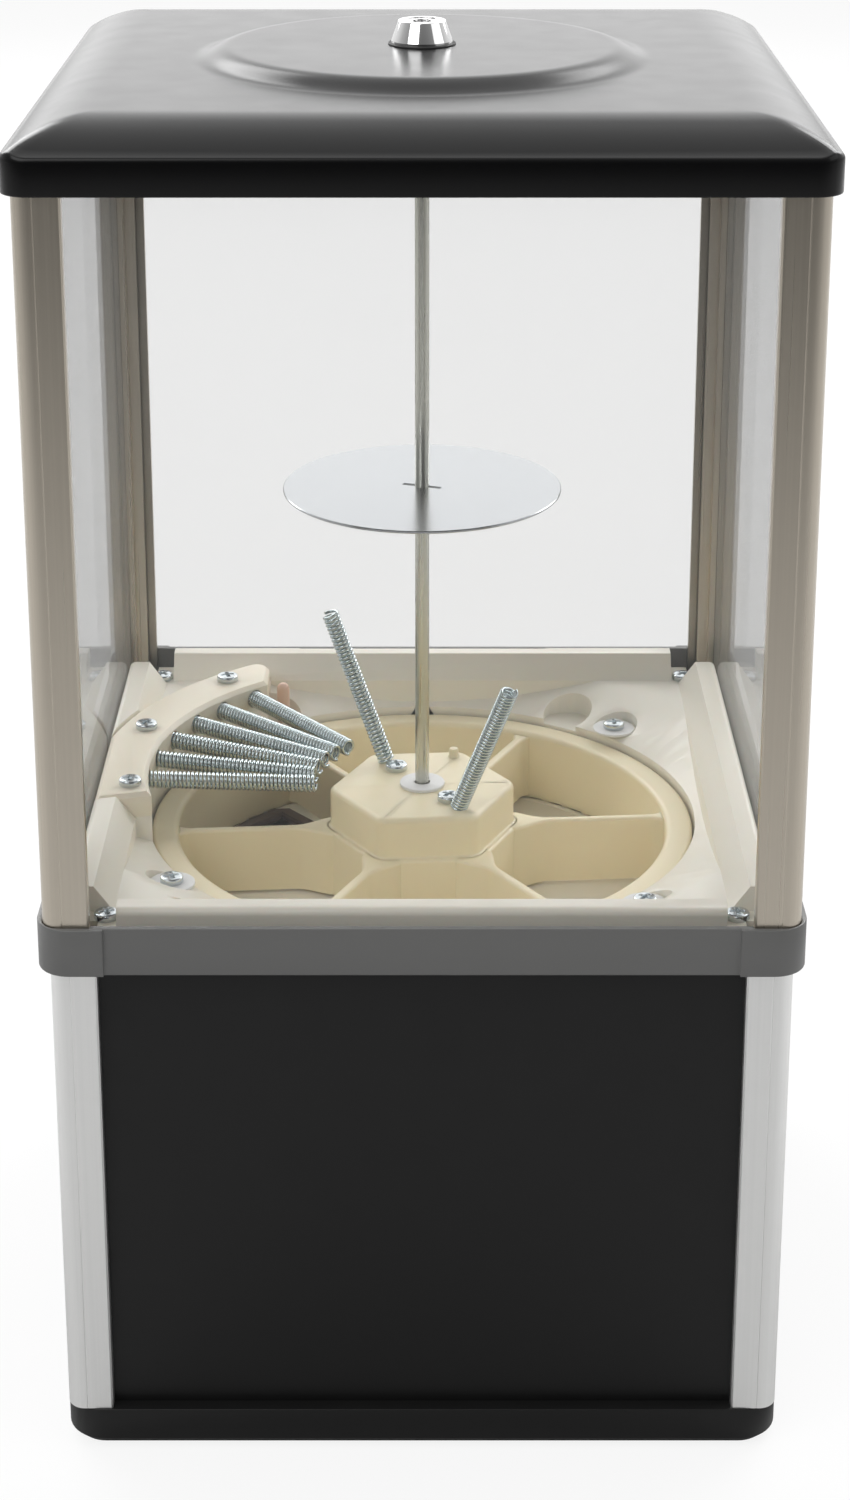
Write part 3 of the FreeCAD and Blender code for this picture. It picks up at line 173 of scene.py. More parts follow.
# %% Turned and stacked forms
def turned_form(profile, steps=96, middle=(0.0, 0.0)):
    """Rings of a (radius, height) profile about an upright axis: x = r cos a, y = r sin a, z = height."""
    angle = np.linspace(0, 2 * np.pi, steps, endpoint=False)
    r, height = profile[:, 0, None], profile[:, 1, None]
    return np.stack([middle[0] + r * np.cos(angle), middle[1] + r * np.sin(angle), height + 0 * angle], -1)


def inward(outline):
    """Unit directions that point into an outline drawn anticlockwise, square to the path at each point."""
    along = np.roll(outline, -1, 0) - np.roll(outline, 1, 0)
    along /= np.linalg.norm(along, axis=1)[:, None]
    return np.stack([-along[:, 1], along[:, 0]], -1)


def stacked_form(outline, insets, heights):
    """Rings that repeat an outline, each moved inwards by its inset and set at its height."""
    flat = outline[None] + inward(outline)[None] * np.asarray(insets, float)[:, None, None]
    height = np.broadcast_to(np.asarray(heights, float)[:, None, None], flat.shape[:2] + (1,))
    return np.concatenate([flat, height], -1)


def smoothstep(low, high, value):
    """0 below low, 1 above high, and t t (3 - 2 t) between."""
    t = np.clip((value - low) / (high - low), 0, 1)
    return t * t * (3 - 2 * t)


def polar(r, degrees):
    """The flat point at a radius and an angle: x = r cos a, y = r sin a."""
    return np.array([r * math.cos(math.radians(degrees)), r * math.sin(math.radians(degrees))])


print("a quarter of the way, the smooth step is", smoothstep(0, 1, 0.25))

# %% [markdown]
# ## Shared effects
# Moulded plastic has a cloudy tone and a fine skin; drawn or rolled metal has streaks along one direction;
# shiny faces keep the marks of hands. Each effect is used by several finishes, so each is a node group that
# is built once and placed with its own values.

# %% Node helpers
COLOUR, NUMBER, VECTOR = "NodeSocketColor", "NodeSocketFloat", "NodeSocketVector"


def new_group(name, inputs, outputs):
    """An empty shader group with named sockets, and its input and output nodes."""
    tree = bpy.data.node_groups.new(name, "ShaderNodeTree")
    for label, kind, value in inputs:
        tree.interface.new_socket(label, in_out="INPUT", socket_type=kind).default_value = value
    for label, kind in outputs:
        tree.interface.new_socket(label, in_out="OUTPUT", socket_type=kind)
    return tree, tree.nodes.new("NodeGroupInput"), tree.nodes.new("NodeGroupOutput")


def feed(tree, value, socket):
    """Sets a socket to a number, or links another socket to it."""
    if isinstance(value, (int, float)):
        socket.default_value = value
    else:
        tree.links.new(value, socket)


def noise(tree, vector, scale, detail):
    """Noise between 0 and 1 at a point; the scale is a number or a socket."""
    node = tree.nodes.new("ShaderNodeTexNoise")
    node.inputs["Detail"].default_value = detail
    feed(tree, scale, node.inputs["Scale"])
    tree.links.new(vector, node.inputs["Vector"])
    return node.outputs["Fac"]


def maths(tree, kind, first, second):
    """The result of one Math node on two numbers or sockets."""
    node = tree.nodes.new("ShaderNodeMath")
    node.operation = kind
    for value, socket in zip((first, second), node.inputs):
        feed(tree, value, socket)
    return node.outputs[0]


def swing(tree, value, amount):
    """amount times (value - 0.5), which turns a noise into a change about zero."""
    return maths(tree, "MULTIPLY", maths(tree, "SUBTRACT", value, 0.5), amount)


def scaled(tree, colour, factor):
    """A colour times a number."""
    node = tree.nodes.new("ShaderNodeVectorMath")
    node.operation = "SCALE"
    tree.links.new(colour, node.inputs["Vector"])
    tree.links.new(factor, node.inputs["Scale"])
    return node.outputs["Vector"]


def object_point(tree):
    """The point in the object's own frame, so that a pattern moves with its piece."""
    return tree.nodes.new("ShaderNodeTexCoord").outputs["Object"]


print("sockets:", COLOUR, NUMBER, VECTOR)

# %% Moulded skin
CLOUD, FINE_CLOUD, GRAIN_DETAIL = (16.0, 4.0), (70.0, 3.0), 2.0


def make_moulded_skin():
    """Colour times a cloudy tone, roughness that follows a finer cloud, and a fine grain for the bump."""
    tree, given, result = new_group(
        "moulded_skin",
        [("Color", COLOUR, (1, 1, 1, 1)), ("Tone", NUMBER, 0.05), ("Roughness", NUMBER, 0.4),
         ("Rough Change", NUMBER, 0.1), ("Grain Scale", NUMBER, 1500.0)],
        [("Color", COLOUR), ("Roughness", NUMBER), ("Height", NUMBER)])
    point = object_point(tree)
    tone = maths(tree, "ADD", swing(tree, noise(tree, point, *CLOUD), given.outputs["Tone"]), 1.0)
    tree.links.new(scaled(tree, given.outputs["Color"], tone), result.inputs["Color"])
    change = swing(tree, noise(tree, point, *FINE_CLOUD), given.outputs["Rough Change"])
    tree.links.new(maths(tree, "ADD", given.outputs["Roughness"], change), result.inputs["Roughness"])
    grain = noise(tree, point, given.outputs["Grain Scale"], GRAIN_DETAIL)
    tree.links.new(grain, result.inputs["Height"])
    return tree


moulded_skin = make_moulded_skin()
print(moulded_skin.name, "has", len(moulded_skin.nodes), "nodes")

# %% Drawn streaks
STREAK_NOISE = (1.0, 3.0)


def make_drawn_streaks():
    """Noise squeezed across the drawing direction, so that it runs in long streaks along it."""
    tree, given, result = new_group(
        "drawn_streaks",
        [("Color", COLOUR, (1, 1, 1, 1)), ("Stretch", VECTOR, (900, 900, 6)), ("Streak", NUMBER, 0.2),
         ("Roughness", NUMBER, 0.3)],
        [("Color", COLOUR), ("Roughness", NUMBER), ("Height", NUMBER)])
    squeezed = tree.nodes.new("ShaderNodeVectorMath")
    squeezed.operation = "MULTIPLY"
    tree.links.new(object_point(tree), squeezed.inputs[0])
    tree.links.new(given.outputs["Stretch"], squeezed.inputs[1])
    streak = noise(tree, squeezed.outputs["Vector"], *STREAK_NOISE)
    change = swing(tree, streak, given.outputs["Streak"])
    tone = maths(tree, "ADD", change, 1.0)
    tree.links.new(scaled(tree, given.outputs["Color"], tone), result.inputs["Color"])
    tree.links.new(maths(tree, "ADD", given.outputs["Roughness"], change), result.inputs["Roughness"])
    tree.links.new(streak, result.inputs["Height"])
    return tree


drawn_streaks = make_drawn_streaks()
print(drawn_streaks.name, "has", len(drawn_streaks.nodes), "nodes")

# %% Hand marks
PATCH_DETAIL, FINE_MARKS = 5.0, (240.0, 2.0)


def make_hand_marks():
    """Roughness raised in soft patches where two noises of different size are both strong."""
    tree, given, result = new_group(
        "hand_marks",
        [("Roughness", NUMBER, 0.1), ("Marks", NUMBER, 0.15), ("Scale", NUMBER, 30.0)],
        [("Roughness", NUMBER)])
    point = object_point(tree)
    patches = noise(tree, point, given.outputs["Scale"], PATCH_DETAIL)
    both = maths(tree, "MULTIPLY", patches, noise(tree, point, *FINE_MARKS))
    change = maths(tree, "MULTIPLY", both, given.outputs["Marks"])
    tree.links.new(maths(tree, "ADD", given.outputs["Roughness"], change), result.inputs["Roughness"])
    return tree


hand_marks = make_hand_marks()
print(hand_marks.name, "has", len(hand_marks.nodes), "nodes")

# %% [markdown]
# ## Finishes
# A finish is one Principled shader. Numbers that hold all over the surface are set on the shader itself,
# and only what changes from point to point comes from a group.

# %% Finish builder
BUMP_DEPTH, MARK_SCALE = 0.1 * MM, 30.0


def new_finish(name, group, values, sockets, bump=0.0):
    """A material: a Principled shader with plain sockets, fed by one placed group and an optional bump."""
    material = bpy.data.materials.new(name)
    material.use_nodes = True
    tree = material.node_tree
    shader = tree.nodes["Principled BSDF"]
    for label, value in sockets.items():
        shader.inputs[label].default_value = value
    placed = tree.nodes.new("ShaderNodeGroup")
    placed.node_tree = group
    for label, value in values.items():
        placed.inputs[label].default_value = value
    for output in placed.outputs:
        target = "Base Color" if output.name == "Color" else output.name
        if target in shader.inputs:
            tree.links.new(output, shader.inputs[target])
    if bump:
        lift = tree.nodes.new("ShaderNodeBump")
        lift.inputs["Strength"].default_value = bump
        lift.inputs["Distance"].default_value = BUMP_DEPTH
        tree.links.new(placed.outputs["Height"], lift.inputs["Height"])
        tree.links.new(lift.outputs["Normal"], shader.inputs["Normal"])
    return material


def plastic(name, colour, rough, tone=0.06, rough_change=0.12, grain=1500.0, bump=0.15, **sockets):
    """A moulded plastic; sockets are further plain values of the shader."""
    values = {"Color": (*colour, 1), "Tone": tone, "Roughness": rough, "Rough Change": rough_change,
              "Grain Scale": grain}
    return new_finish(name, moulded_skin, values, sockets, bump)


def drawn_metal(name, colour, rough, stretch, streak=0.25, bump=0.1):
    """A drawn or rolled metal, whose streaks are long where the stretch is small."""
    values = {"Color": (*colour, 1), "Stretch": stretch, "Streak": streak, "Roughness": rough}
    return new_finish(name, drawn_streaks, values, {"Metallic": 1.0}, bump)


def handled_metal(name, colour, rough, marks):
    """A polished metal with the marks of hands."""
    values = {"Roughness": rough, "Marks": marks, "Scale": MARK_SCALE}
    return new_finish(name, hand_marks, values, {"Base Color": (*colour, 1), "Metallic": 1.0})


print("bumps are up to", BUMP_DEPTH / MM, "mm deep")

# %% [markdown]
# The hopper tray is a milky white plastic, the wheel and spring cover a warmer cream, and both let a little
# light in. The lid and base are black with different gloss, and the collar is a fine grey. The posts are
# satin aluminium drawn upright; the upper ones are darker and warmer, a painted reflection of a darker,
# warm surround. Springs, screws and rod are zinc plated, the lock and coin front chromed.

# %% Plastics
MILKY = {"Subsurface Weight": 0.08, "Subsurface Scale": 0.003}
GLOSS = "Specular IOR Level"
tray_white = plastic("tray_white", (0.87, 0.832, 0.73), 0.34, tone=0.05, **MILKY)
wheel_cream = plastic("wheel_cream", (0.88, 0.785, 0.55), 0.36, tone=0.06, **MILKY)
cover_cream = plastic("cover_cream", (0.88, 0.81, 0.66), 0.4, tone=0.05, **MILKY)
peg_pink = plastic("peg_pink", (0.80, 0.56, 0.44), 0.4, tone=0.05, **MILKY)
# Chute and discharge lining: a dark brown that is painted shade for the inside of the chute's opening.
chute_painted_shade = plastic("chute_painted_shade", (0.10, 0.06, 0.042), 0.5, tone=0.15)
lid_black = plastic("lid_black", (0.003, 0.003, 0.0032), 0.24, tone=0.2, rough_change=0.06, bump=0.04,
                    **{GLOSS: 0.24})
base_black = plastic("base_black", (0.005, 0.005, 0.005), 0.4, tone=0.2, **{GLOSS: 0.35})
panel_black = plastic("panel_black", (0.006, 0.006, 0.006), 0.42, tone=0.15, grain=2600.0, bump=0.1,
                      **{GLOSS: 0.3})
collar_grey = plastic("collar_grey", (0.14, 0.14, 0.137), 0.42, tone=0.06)
washer_white = plastic("washer_white", (0.82, 0.82, 0.81), 0.35, tone=0.03)
# A plain black for the thin ring under the lock's cone.
thin_ring_black = plastic("thin_ring_black", (0.01, 0.01, 0.01), 0.6, tone=0.1)
print(moulded_skin.users, "plastics share", moulded_skin.name)

# %% Metals
UPRIGHT, EVEN = (1100.0, 1100.0, 5.0), (900.0, 900.0, 900.0)
ALONG_ROD, ACROSS_DISC = (700.0, 700.0, 30.0), (60.0, 1500.0, 60.0)
# The upper posts are the same aluminium as the lower ones; their darker, warm colour is a painted reflection
# of a darker, warm surround.
upper_post_painted_reflection = drawn_metal("upper_post_painted_reflection", (0.54, 0.49, 0.415), 0.30, UPRIGHT, streak=0.16)
post_bright = drawn_metal("post_bright", (0.83, 0.83, 0.82), 0.4, UPRIGHT, streak=0.1)
spring_zinc = drawn_metal("spring_zinc", (0.58, 0.65, 0.66), 0.2, EVEN, streak=0.05, bump=0.03)
screw_zinc = drawn_metal("screw_zinc", (0.60, 0.645, 0.665), 0.18, EVEN, streak=0.08, bump=0.05)
rod_zinc = drawn_metal("rod_zinc", (0.58, 0.58, 0.52), 0.28, ALONG_ROD, streak=0.3)
disc_steel = drawn_metal("disc_steel", (0.50, 0.515, 0.53), 0.24, ACROSS_DISC, streak=0.08, bump=0.05)
cast_grey = drawn_metal("cast_grey", (0.45, 0.45, 0.44), 0.5, EVEN, streak=0.3, bump=0.3)
brass = drawn_metal("brass", (0.70, 0.52, 0.22), 0.3, EVEN, streak=0.2)
chrome = handled_metal("chrome", (0.78, 0.78, 0.78), 0.05, marks=0.12)
print(len(bpy.data.materials), "materials, with those of the packed model")

# %% [markdown]
# Clear sheet is the hard one. Real refraction keeps soft light out of the hopper, because a path through
# two sheets is rarely found. Here the sheet is mostly transparent with a faint grey, and the cube of a Layer
# Weight makes it show more only at a grazing angle, where real sheet reflects.

# %% Clear sheet
SHEET_GREY, SHEET_ROUGH = (0.32, 0.325, 0.32, 1), 0.03
FACE_SHOWN, EDGE_SHOWN, EDGE_POWER = 0.08, 0.7, 3.0


def make_clear_sheet():
    """How much the sheet shows: FACE_SHOWN + EDGE_SHOWN times a power of the grazing weight."""
    material = bpy.data.materials.new("clear_sheet")
    material.use_nodes = True
    tree = material.node_tree
    shader = tree.nodes["Principled BSDF"]
    shader.inputs["Base Color"].default_value = SHEET_GREY
    shader.inputs["Roughness"].default_value = SHEET_ROUGH
    grazing = tree.nodes.new("ShaderNodeLayerWeight")
    grazing.inputs["Blend"].default_value = 0.5
    edge_on = maths(tree, "POWER", grazing.outputs["Facing"], EDGE_POWER)
    shown = maths(tree, "ADD", maths(tree, "MULTIPLY", edge_on, EDGE_SHOWN), FACE_SHOWN)
    tree.links.new(shown, shader.inputs["Alpha"])
    return material


clear_sheet = make_clear_sheet()
print("seen straight on, the sheet hides", FACE_SHOWN, "of the view")

# %% [markdown]
# ## Mouldings that keep their solid
# The tray, collar, base, cover, chute and door already have the right shape, but every edge is sharp. A
# copy of the node is merged back into flat faces, and a Bevel modifier rounds what turns by more than a
# set angle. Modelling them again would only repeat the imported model.

# %% Soft-edged copies
FLAT_ANGLE, EDGE_ANGLE, EDGE_STEPS = 0.5, 32.0, 2


def soft_copy(node, finish, width):
    """A merged copy of a CAD node with a bevel of the given width in mm on its edges."""
    mesh = frame["nodes"][node].data.copy()
    mesh.name = node + "_soft"
    shell = bmesh.new()
    shell.from_mesh(mesh)
    bmesh.ops.remove_doubles(shell, verts=shell.verts, dist=MERGE_DISTANCE)
    flat = math.radians(FLAT_ANGLE)
    bmesh.ops.dissolve_limit(shell, angle_limit=flat, verts=shell.verts, edges=shell.edges)
    shell.to_mesh(mesh)
    shell.free()
    mesh.shade_smooth()
    obj = in_scene(node + "_soft", mesh)
    bevel = obj.modifiers.new("edge_round", "BEVEL")
    bevel.width = width * MM
    bevel.segments = EDGE_STEPS
    bevel.limit_method = "ANGLE"
    bevel.angle_limit = math.radians(EDGE_ANGLE)
    bevel.harden_normals = True
    dressed(obj, finish, node)
    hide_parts(node)


soft_edges = [
    ("base", base_black, 0.8), ("collar", collar_grey, 0.5), ("hopper_tray", tray_white, 0.6),
    ("well_wall", tray_white, 0.3), ("well_floor", tray_white, 0.3), ("spring_cover", cover_cream, 0.6),
    ("door_frame", base_black, 0.4), ("chute_door", base_black, 0.4), ("chute", chute_painted_shade, 0.3),
]
for node, finish, width in soft_edges:
    soft_copy(node, finish, width)
print(len(soft_edges), "soft-edged copies")

# %% [markdown]
# ## Posts
# Each post is an aluminium extrusion: a rounded outer corner, two slots for the sheets, and a fine groove on
# each outside face. An extrusion is one outline carried straight up, so the outline is drawn once at the
# +X +Y corner and turned for the other three.

# %% Post outline
POST_SECTION, POST_ROUND, POST_CORE, POST_EDGE = 15.5, 6.0, 9.0, 0.6
GROOVE_AT, GROOVE_WIDE, GROOVE_DEEP = 1.2, 0.5, 0.12
SLOT_PLAY, LIP_BACK, LIP_THICK = 0.1, 3.0, 2.2


def post_outline(half, plane, thick):
    """Half of the outline as (way along one face, depth from it), then mirrored in the diagonal."""
    outer, inner = half - plane - thick / 2 - SLOT_PLAY, half - plane + thick / 2 + SLOT_PLAY
    groove, lip, back = POST_ROUND + GROOVE_AT, POST_SECTION - LIP_BACK, inner + LIP_THICK
    arc = np.linspace(np.pi / 4, np.pi / 2, 7)
    corner = POST_ROUND - POST_ROUND * np.stack([np.cos(arc), np.sin(arc)], -1)
    rest = [(groove - GROOVE_WIDE, 0), (groove - GROOVE_WIDE / 2, GROOVE_DEEP), (groove, 0),
            (POST_SECTION - POST_EDGE, 0), (POST_SECTION, POST_EDGE), (POST_SECTION, outer),
            (POST_CORE, outer), (POST_CORE, inner), (lip, inner), (lip, back), (back, back)]
    one = np.array([*corner, *rest], float)
    other = one[-2:0:-1, ::-1]
    return half - np.vstack([one, other])


upper_outline = post_outline(half=122.0, plane=117.0, thick=2.5)
lower_outline = post_outline(half=120.3, plane=115.25, thick=1.5)
print(len(upper_outline), "points round each post")

# %% The eight posts
POST_CORNERS = ["front_right", "front_left", "rear_left", "rear_right"]
QUARTER_TURN = np.array([[0, 1], [-1, 0]], float)


def make_posts(which, outline, finish):
    """Four straight prisms: the outline at the node's bottom and top height, turned by 90 degrees each."""
    for k, corner in enumerate(POST_CORNERS):
        node = f"{which}_post_{corner}"
        low, high = (corner_point.z / MM for corner_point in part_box(node))
        flat = outline @ np.linalg.matrix_power(QUARTER_TURN, k)
        rings = np.stack([np.column_stack([flat, np.full(len(flat), z)]) for z in (low, high)])
        piece(node + "_drawn", [joined_rings(rings), cap(rings[0]), cap(rings[1])], finish, node, sharp=25.0)


make_posts("upper", upper_outline, upper_post_painted_reflection)
make_posts("lower", lower_outline, post_bright)

# %% [markdown]
# ## Lid
# The lid is a shallow black dome on a square: two arches cross, the lower one counts, and a low round
# plateau carries the lock. A height formula over x and y says exactly that. The rings run from the round
# lock bore out to the square edge, over a small radius, down the skirt and back along the inside.

# %% Lid height
LID_HALF, LID_CORNER, LID_WALL = 125.0, 9.0, 2.0
LID_LOW, LID_EDGE, LID_FLAT, LID_RISE = 435.0, 446.0, 456.0, 4.0
SHOULDER, SHOULDER_POWER = 26.0, 2.1
HIP_SOFT, HIP_FADE = 2.4, 3.0
PLATEAU_IN, PLATEAU_OUT = 64.0, 76.0


def arch(across):
    """Height across one pair of sides: flat in the middle, and falling by a power over the shoulder."""
    t = np.clip((LID_HALF - np.abs(across)) / SHOULDER, 0, 1)
    return LID_EDGE + (LID_FLAT - LID_EDGE) * (1 - (1 - t) ** SHOULDER_POWER)


def lid_height(x, y):
    """The lower of two arches, blended softly where they cross, plus the round plateau."""
    a, b = arch(x), arch(y)
    low = np.minimum(a, b)
    soft = HIP_SOFT * np.clip((LID_FLAT - low) / HIP_FADE, 0, 1) + TINY
    near = np.clip(soft - np.abs(a - b), 0, None) / soft
    plateau = LID_RISE * (1 - smoothstep(PLATEAU_IN, PLATEAU_OUT, np.hypot(x, y)))
    return low - near ** 2 * soft / 4 + plateau


print("the middle of the lid is", round(float(lid_height(0.0, 0.0)), 1), "mm up")

# %% Lid rings
BORE, EDGE_ROUND, EDGE_FALL, LID_SPACING = 8.1, 1.3, 0.9, 6.0
CIRCLES = np.concatenate([[BORE, 9.5, 12, 20, 34, 48, 58], np.arange(61, 82, 1.5)])
SKIRT_FOOT = [(0, 0.6), (0.15, 0.15), (0.5, 0), (LID_WALL - 0.4, 0), (LID_WALL, 0.4)]


def on_lid(flat):
    """Flat points lifted to the height of the lid."""
    return np.concatenate([flat, lid_height(flat[..., 0], flat[..., 1])[..., None]], -1)


def lid_rings():
    """Rings from the bore outwards over the top, round the edge, down the skirt and back inside."""
    corners = [(LID_HALF, -LID_HALF), (LID_HALF, LID_HALF), (-LID_HALF, LID_HALF), (-LID_HALF, -LID_HALF)]
    outline = with_points_every(rounded(corners, LID_CORNER, 15), LID_SPACING)
    ray = outline / np.linalg.norm(outline, axis=1)[:, None]
    top_edge = outline + inward(outline) * EDGE_ROUND
    spread = np.linspace(0, 1, 30)[1:, None, None]
    slope = (1 - spread) * CIRCLES[-1] * ray + spread * top_edge
    flat = np.concatenate([CIRCLES[:, None, None] * ray, slope])
    top = on_lid(flat)
    turn = np.linspace(0, np.pi / 2, 7)[1:]
    fall = LID_EDGE - EDGE_FALL
    drop = stacked_form(outline, EDGE_ROUND * (1 - np.sin(turn)), np.full(len(turn), fall))
    drop[..., 2] += (top[-1, :, 2] - fall) * np.cos(turn)[:, None]
    insets, rises = np.transpose(SKIRT_FOOT)
    skirt = stacked_form(outline, insets, LID_LOW + rises)
    inner_edge = outline + inward(outline) * LID_WALL
    under = on_lid(np.concatenate([flat[:-1], inner_edge[None]])[::-1])
    under[..., 2] -= LID_WALL
    return np.concatenate([top, drop, skirt, under])


lid_blocks = [joined_rings(lid_rings(), wrap=True)]
print("the shell of the lid has", len(lid_blocks[0][0]), "points")

# %% Lid pads
PAD_IN, PAD_OUT, PAD_LOW, PAD_ROUND, PAD_EDGE = 107.0, 121.5, 437.0, 5.0, 0.5


def lid_pad(sx, sy):
    """A rounded block under one corner of the lid: it rests on a post and ends inside the lid's wall."""
    corners = [(PAD_IN, PAD_IN), (PAD_OUT, PAD_IN), (PAD_OUT, PAD_OUT), (PAD_IN, PAD_OUT)]
    outline = rounded(corners, PAD_ROUND)
    rings = stacked_form(outline, [PAD_EDGE, 0, 0], [PAD_LOW, PAD_LOW + PAD_EDGE, LID_EDGE])
    rings[-1, :, 2] = lid_height(outline[:, 0], outline[:, 1]) - LID_WALL / 2
    rings = rings * [sx, sy, 1]
    return [joined_rings(rings), cap(rings[0]), cap(rings[-1])]


lid_blocks += [block for sx in (-1, 1) for sy in (-1, 1) for block in lid_pad(sx, sy)]
piece("lid_shell", lid_blocks, lid_black, "lid", sharp=50.0)

# %% [markdown]
# ## Lock
# A chromed cone sits on the plateau over a thin black ring, with a round plug for a tubular key. All are
# turned parts, so a profile carried round the axis is the natural way. A point on the axis gets a hair's
# radius, which the merge closes.

# %% Lock body, plug and ring
AXIS = 0.001
LOCK_SEAT, LOCK_TOP, BARREL_LOW = 460.0, 468.0, 446.0
BARREL_R, BARREL_BORE, CONE_R, CONE_TOP_R, CONE_FOOT = 8.0, 6.1, 10.3, 7.9, 1.3
body_profile = rounded([(BARREL_BORE, BARREL_LOW), (BARREL_R, BARREL_LOW), (BARREL_R, LOCK_SEAT),
                        (CONE_R, LOCK_SEAT), (CONE_R, LOCK_SEAT + CONE_FOOT), (CONE_TOP_R, LOCK_TOP),
                        (BARREL_BORE, LOCK_TOP)], [0.1, 0.1, 0.1, 0.1, 0.4, 0.5, 0.15])
piece("lock_cone", [joined_rings(turned_form(body_profile), wrap=True)], chrome, "lock_body")

PLUG_R, PLUG_BORE, PLUG_ROOF, PLUG_FACE = 6.0, 5.2, 456.0, LOCK_TOP - 0.3
KEY_OUT, KEY_IN, KEY_FLOOR, KEY_POST = 3.4, 1.8, LOCK_TOP - 4, LOCK_TOP - 0.9
plug_profile = rounded([(AXIS, PLUG_ROOF), (PLUG_BORE, PLUG_ROOF), (PLUG_BORE, BARREL_LOW),
                        (PLUG_R, BARREL_LOW), (PLUG_R, PLUG_FACE), (KEY_OUT, PLUG_FACE),
                        (KEY_OUT, KEY_FLOOR), (KEY_IN, KEY_FLOOR), (KEY_IN, KEY_POST), (AXIS, KEY_POST)],
                       [0, 0.1, 0.1, 0.1, 0.3, 0.2, 0.1, 0.1, 0.3, 0], 4)
piece("lock_keyway", [joined_rings(turned_form(plug_profile, 48), wrap=True)], chrome, "lock_plug")

RING_IN, RING_OUT, RING_LOW, RING_TOP = 10.2, 11.3, LOCK_SEAT - 0.1, LOCK_SEAT + 0.5
ring_profile = rounded([(RING_IN, RING_LOW), (RING_OUT, RING_LOW), (RING_OUT, RING_TOP), (RING_IN, RING_TOP)],
                       [0.05, 0.1, 0.25, 0.1], 4)
piece("lock_ring", [joined_rings(turned_form(ring_profile), wrap=True)], thin_ring_black, "lock_body",
      replaces=False)

# %% [markdown]
# ## Springs
# Six brush springs lie across the wheel and two stand on its hub. They are close wound: only a hair's gap
# parts one curl from the next, and both ends are open. A helix is a circle whose centre moves along a line,
# and the wire is a small ring of points about that path.

# %% Close-wound wire
COIL_R, WIRE_R, COIL_PITCH = 2.6, 0.6, 1.5
CURL_STEPS, WIRE_SIDES, WIRE_SHARP = 18, 8, 80.0
OFF_AXIS = (0.3, 0.2, 0.93)  # no spring runs this way


def close_wound(start, end):
    """Helix: line point + COIL_R (cos a u + sin a v). Wire ring: WIRE_R (cos b outward + sin b axis)."""
    start, end = np.asarray(start, float), np.asarray(end, float)
    length = np.linalg.norm(end - start)
    axis = (end - start) / length
    u = np.cross(axis, OFF_AXIS)
    u /= np.linalg.norm(u)
    v = np.cross(axis, u)
    turns = (length - 2 * WIRE_R) / COIL_PITCH
    along = np.linspace(0, 1, int(turns * CURL_STEPS))[:, None]
    angle = 2 * np.pi * turns * along
    outward = np.cos(angle) * u + np.sin(angle) * v
    path = start + axis * (WIRE_R + along * (length - 2 * WIRE_R)) + COIL_R * outward
    around = np.linspace(0, 2 * np.pi, WIRE_SIDES, endpoint=False)[None, :, None]
    rings = path[:, None] + WIRE_R * (np.cos(around) * outward[:, None] + np.sin(around) * axis)
    return [joined_rings(rings), cap(rings[0]), cap(rings[-1])]


print("the gap between curls is", round(COIL_PITCH - 2 * WIRE_R, 2), "mm")

# %% Brush springs
BRUSH_Z, MOUTH_R, TIP_R, ROOT_R = 193.85, 98.5, 38.0, 113.0
MOUTH_ANGLES = [180.5, 170.0, 159.6, 149.8, 140.7, 131.0]
TIP_ANGLES = [187.0, 176.0, 165.5, 155.0, 145.0, 135.0]
brush_blocks = []
for mouth_angle, tip_angle in zip(MOUTH_ANGLES, TIP_ANGLES):
    mouth, tip = polar(MOUTH_R, mouth_angle), polar(TIP_R, tip_angle)
    root = mouth + (mouth - tip) / np.linalg.norm(mouth - tip) * (ROOT_R - MOUTH_R)
    brush_blocks += close_wound([*root, BRUSH_Z], [*tip, BRUSH_Z])
piece("brush_springs_wound", brush_blocks, spring_zinc, "brush_springs", sharp=WIRE_SHARP)

# %% Agitator springs
HUB_TOP = 191.5
AGITATOR_LINES = [((-12.9, 19.6, HUB_TOP), (-33.8, 24.0, 249.0)),
                  ((12.9, -19.6, HUB_TOP), (30.0, -44.0, 246.0))]
agitator_blocks = [block for foot, top in AGITATOR_LINES for block in close_wound(foot, top)]
piece("agitator_springs_wound", agitator_blocks, spring_zinc, "agitator_springs", sharp=WIRE_SHARP)

# %% [markdown]
# ## Screws
# Pan-head screws show a cross recess. A Boolean could cut it, but it leaves slivers. Here a head is a height
# over a round grid: a low dome, less the depth of the cross where a point lies near one of its two arms.
# Each screw is turned differently, as a hand leaves them.

# %% Pan-head screw
HEAD_R, HEAD_TALL, HEAD_CROWN, SHANK_R = 4.0, 2.6, 0.45, 1.6
RECESS_DEEP, RECESS_REACH, RECESS_HALF = 1.6, 2.6, 0.6
HEAD_SIDE = [(3.75, 2.12), (3.92, 1.88), (HEAD_R, 1.5), (HEAD_R, 0.15), (3.9, 0.0), (SHANK_R, 0.0)]
FIRST_TURN, NEXT_TURN = 17, 37


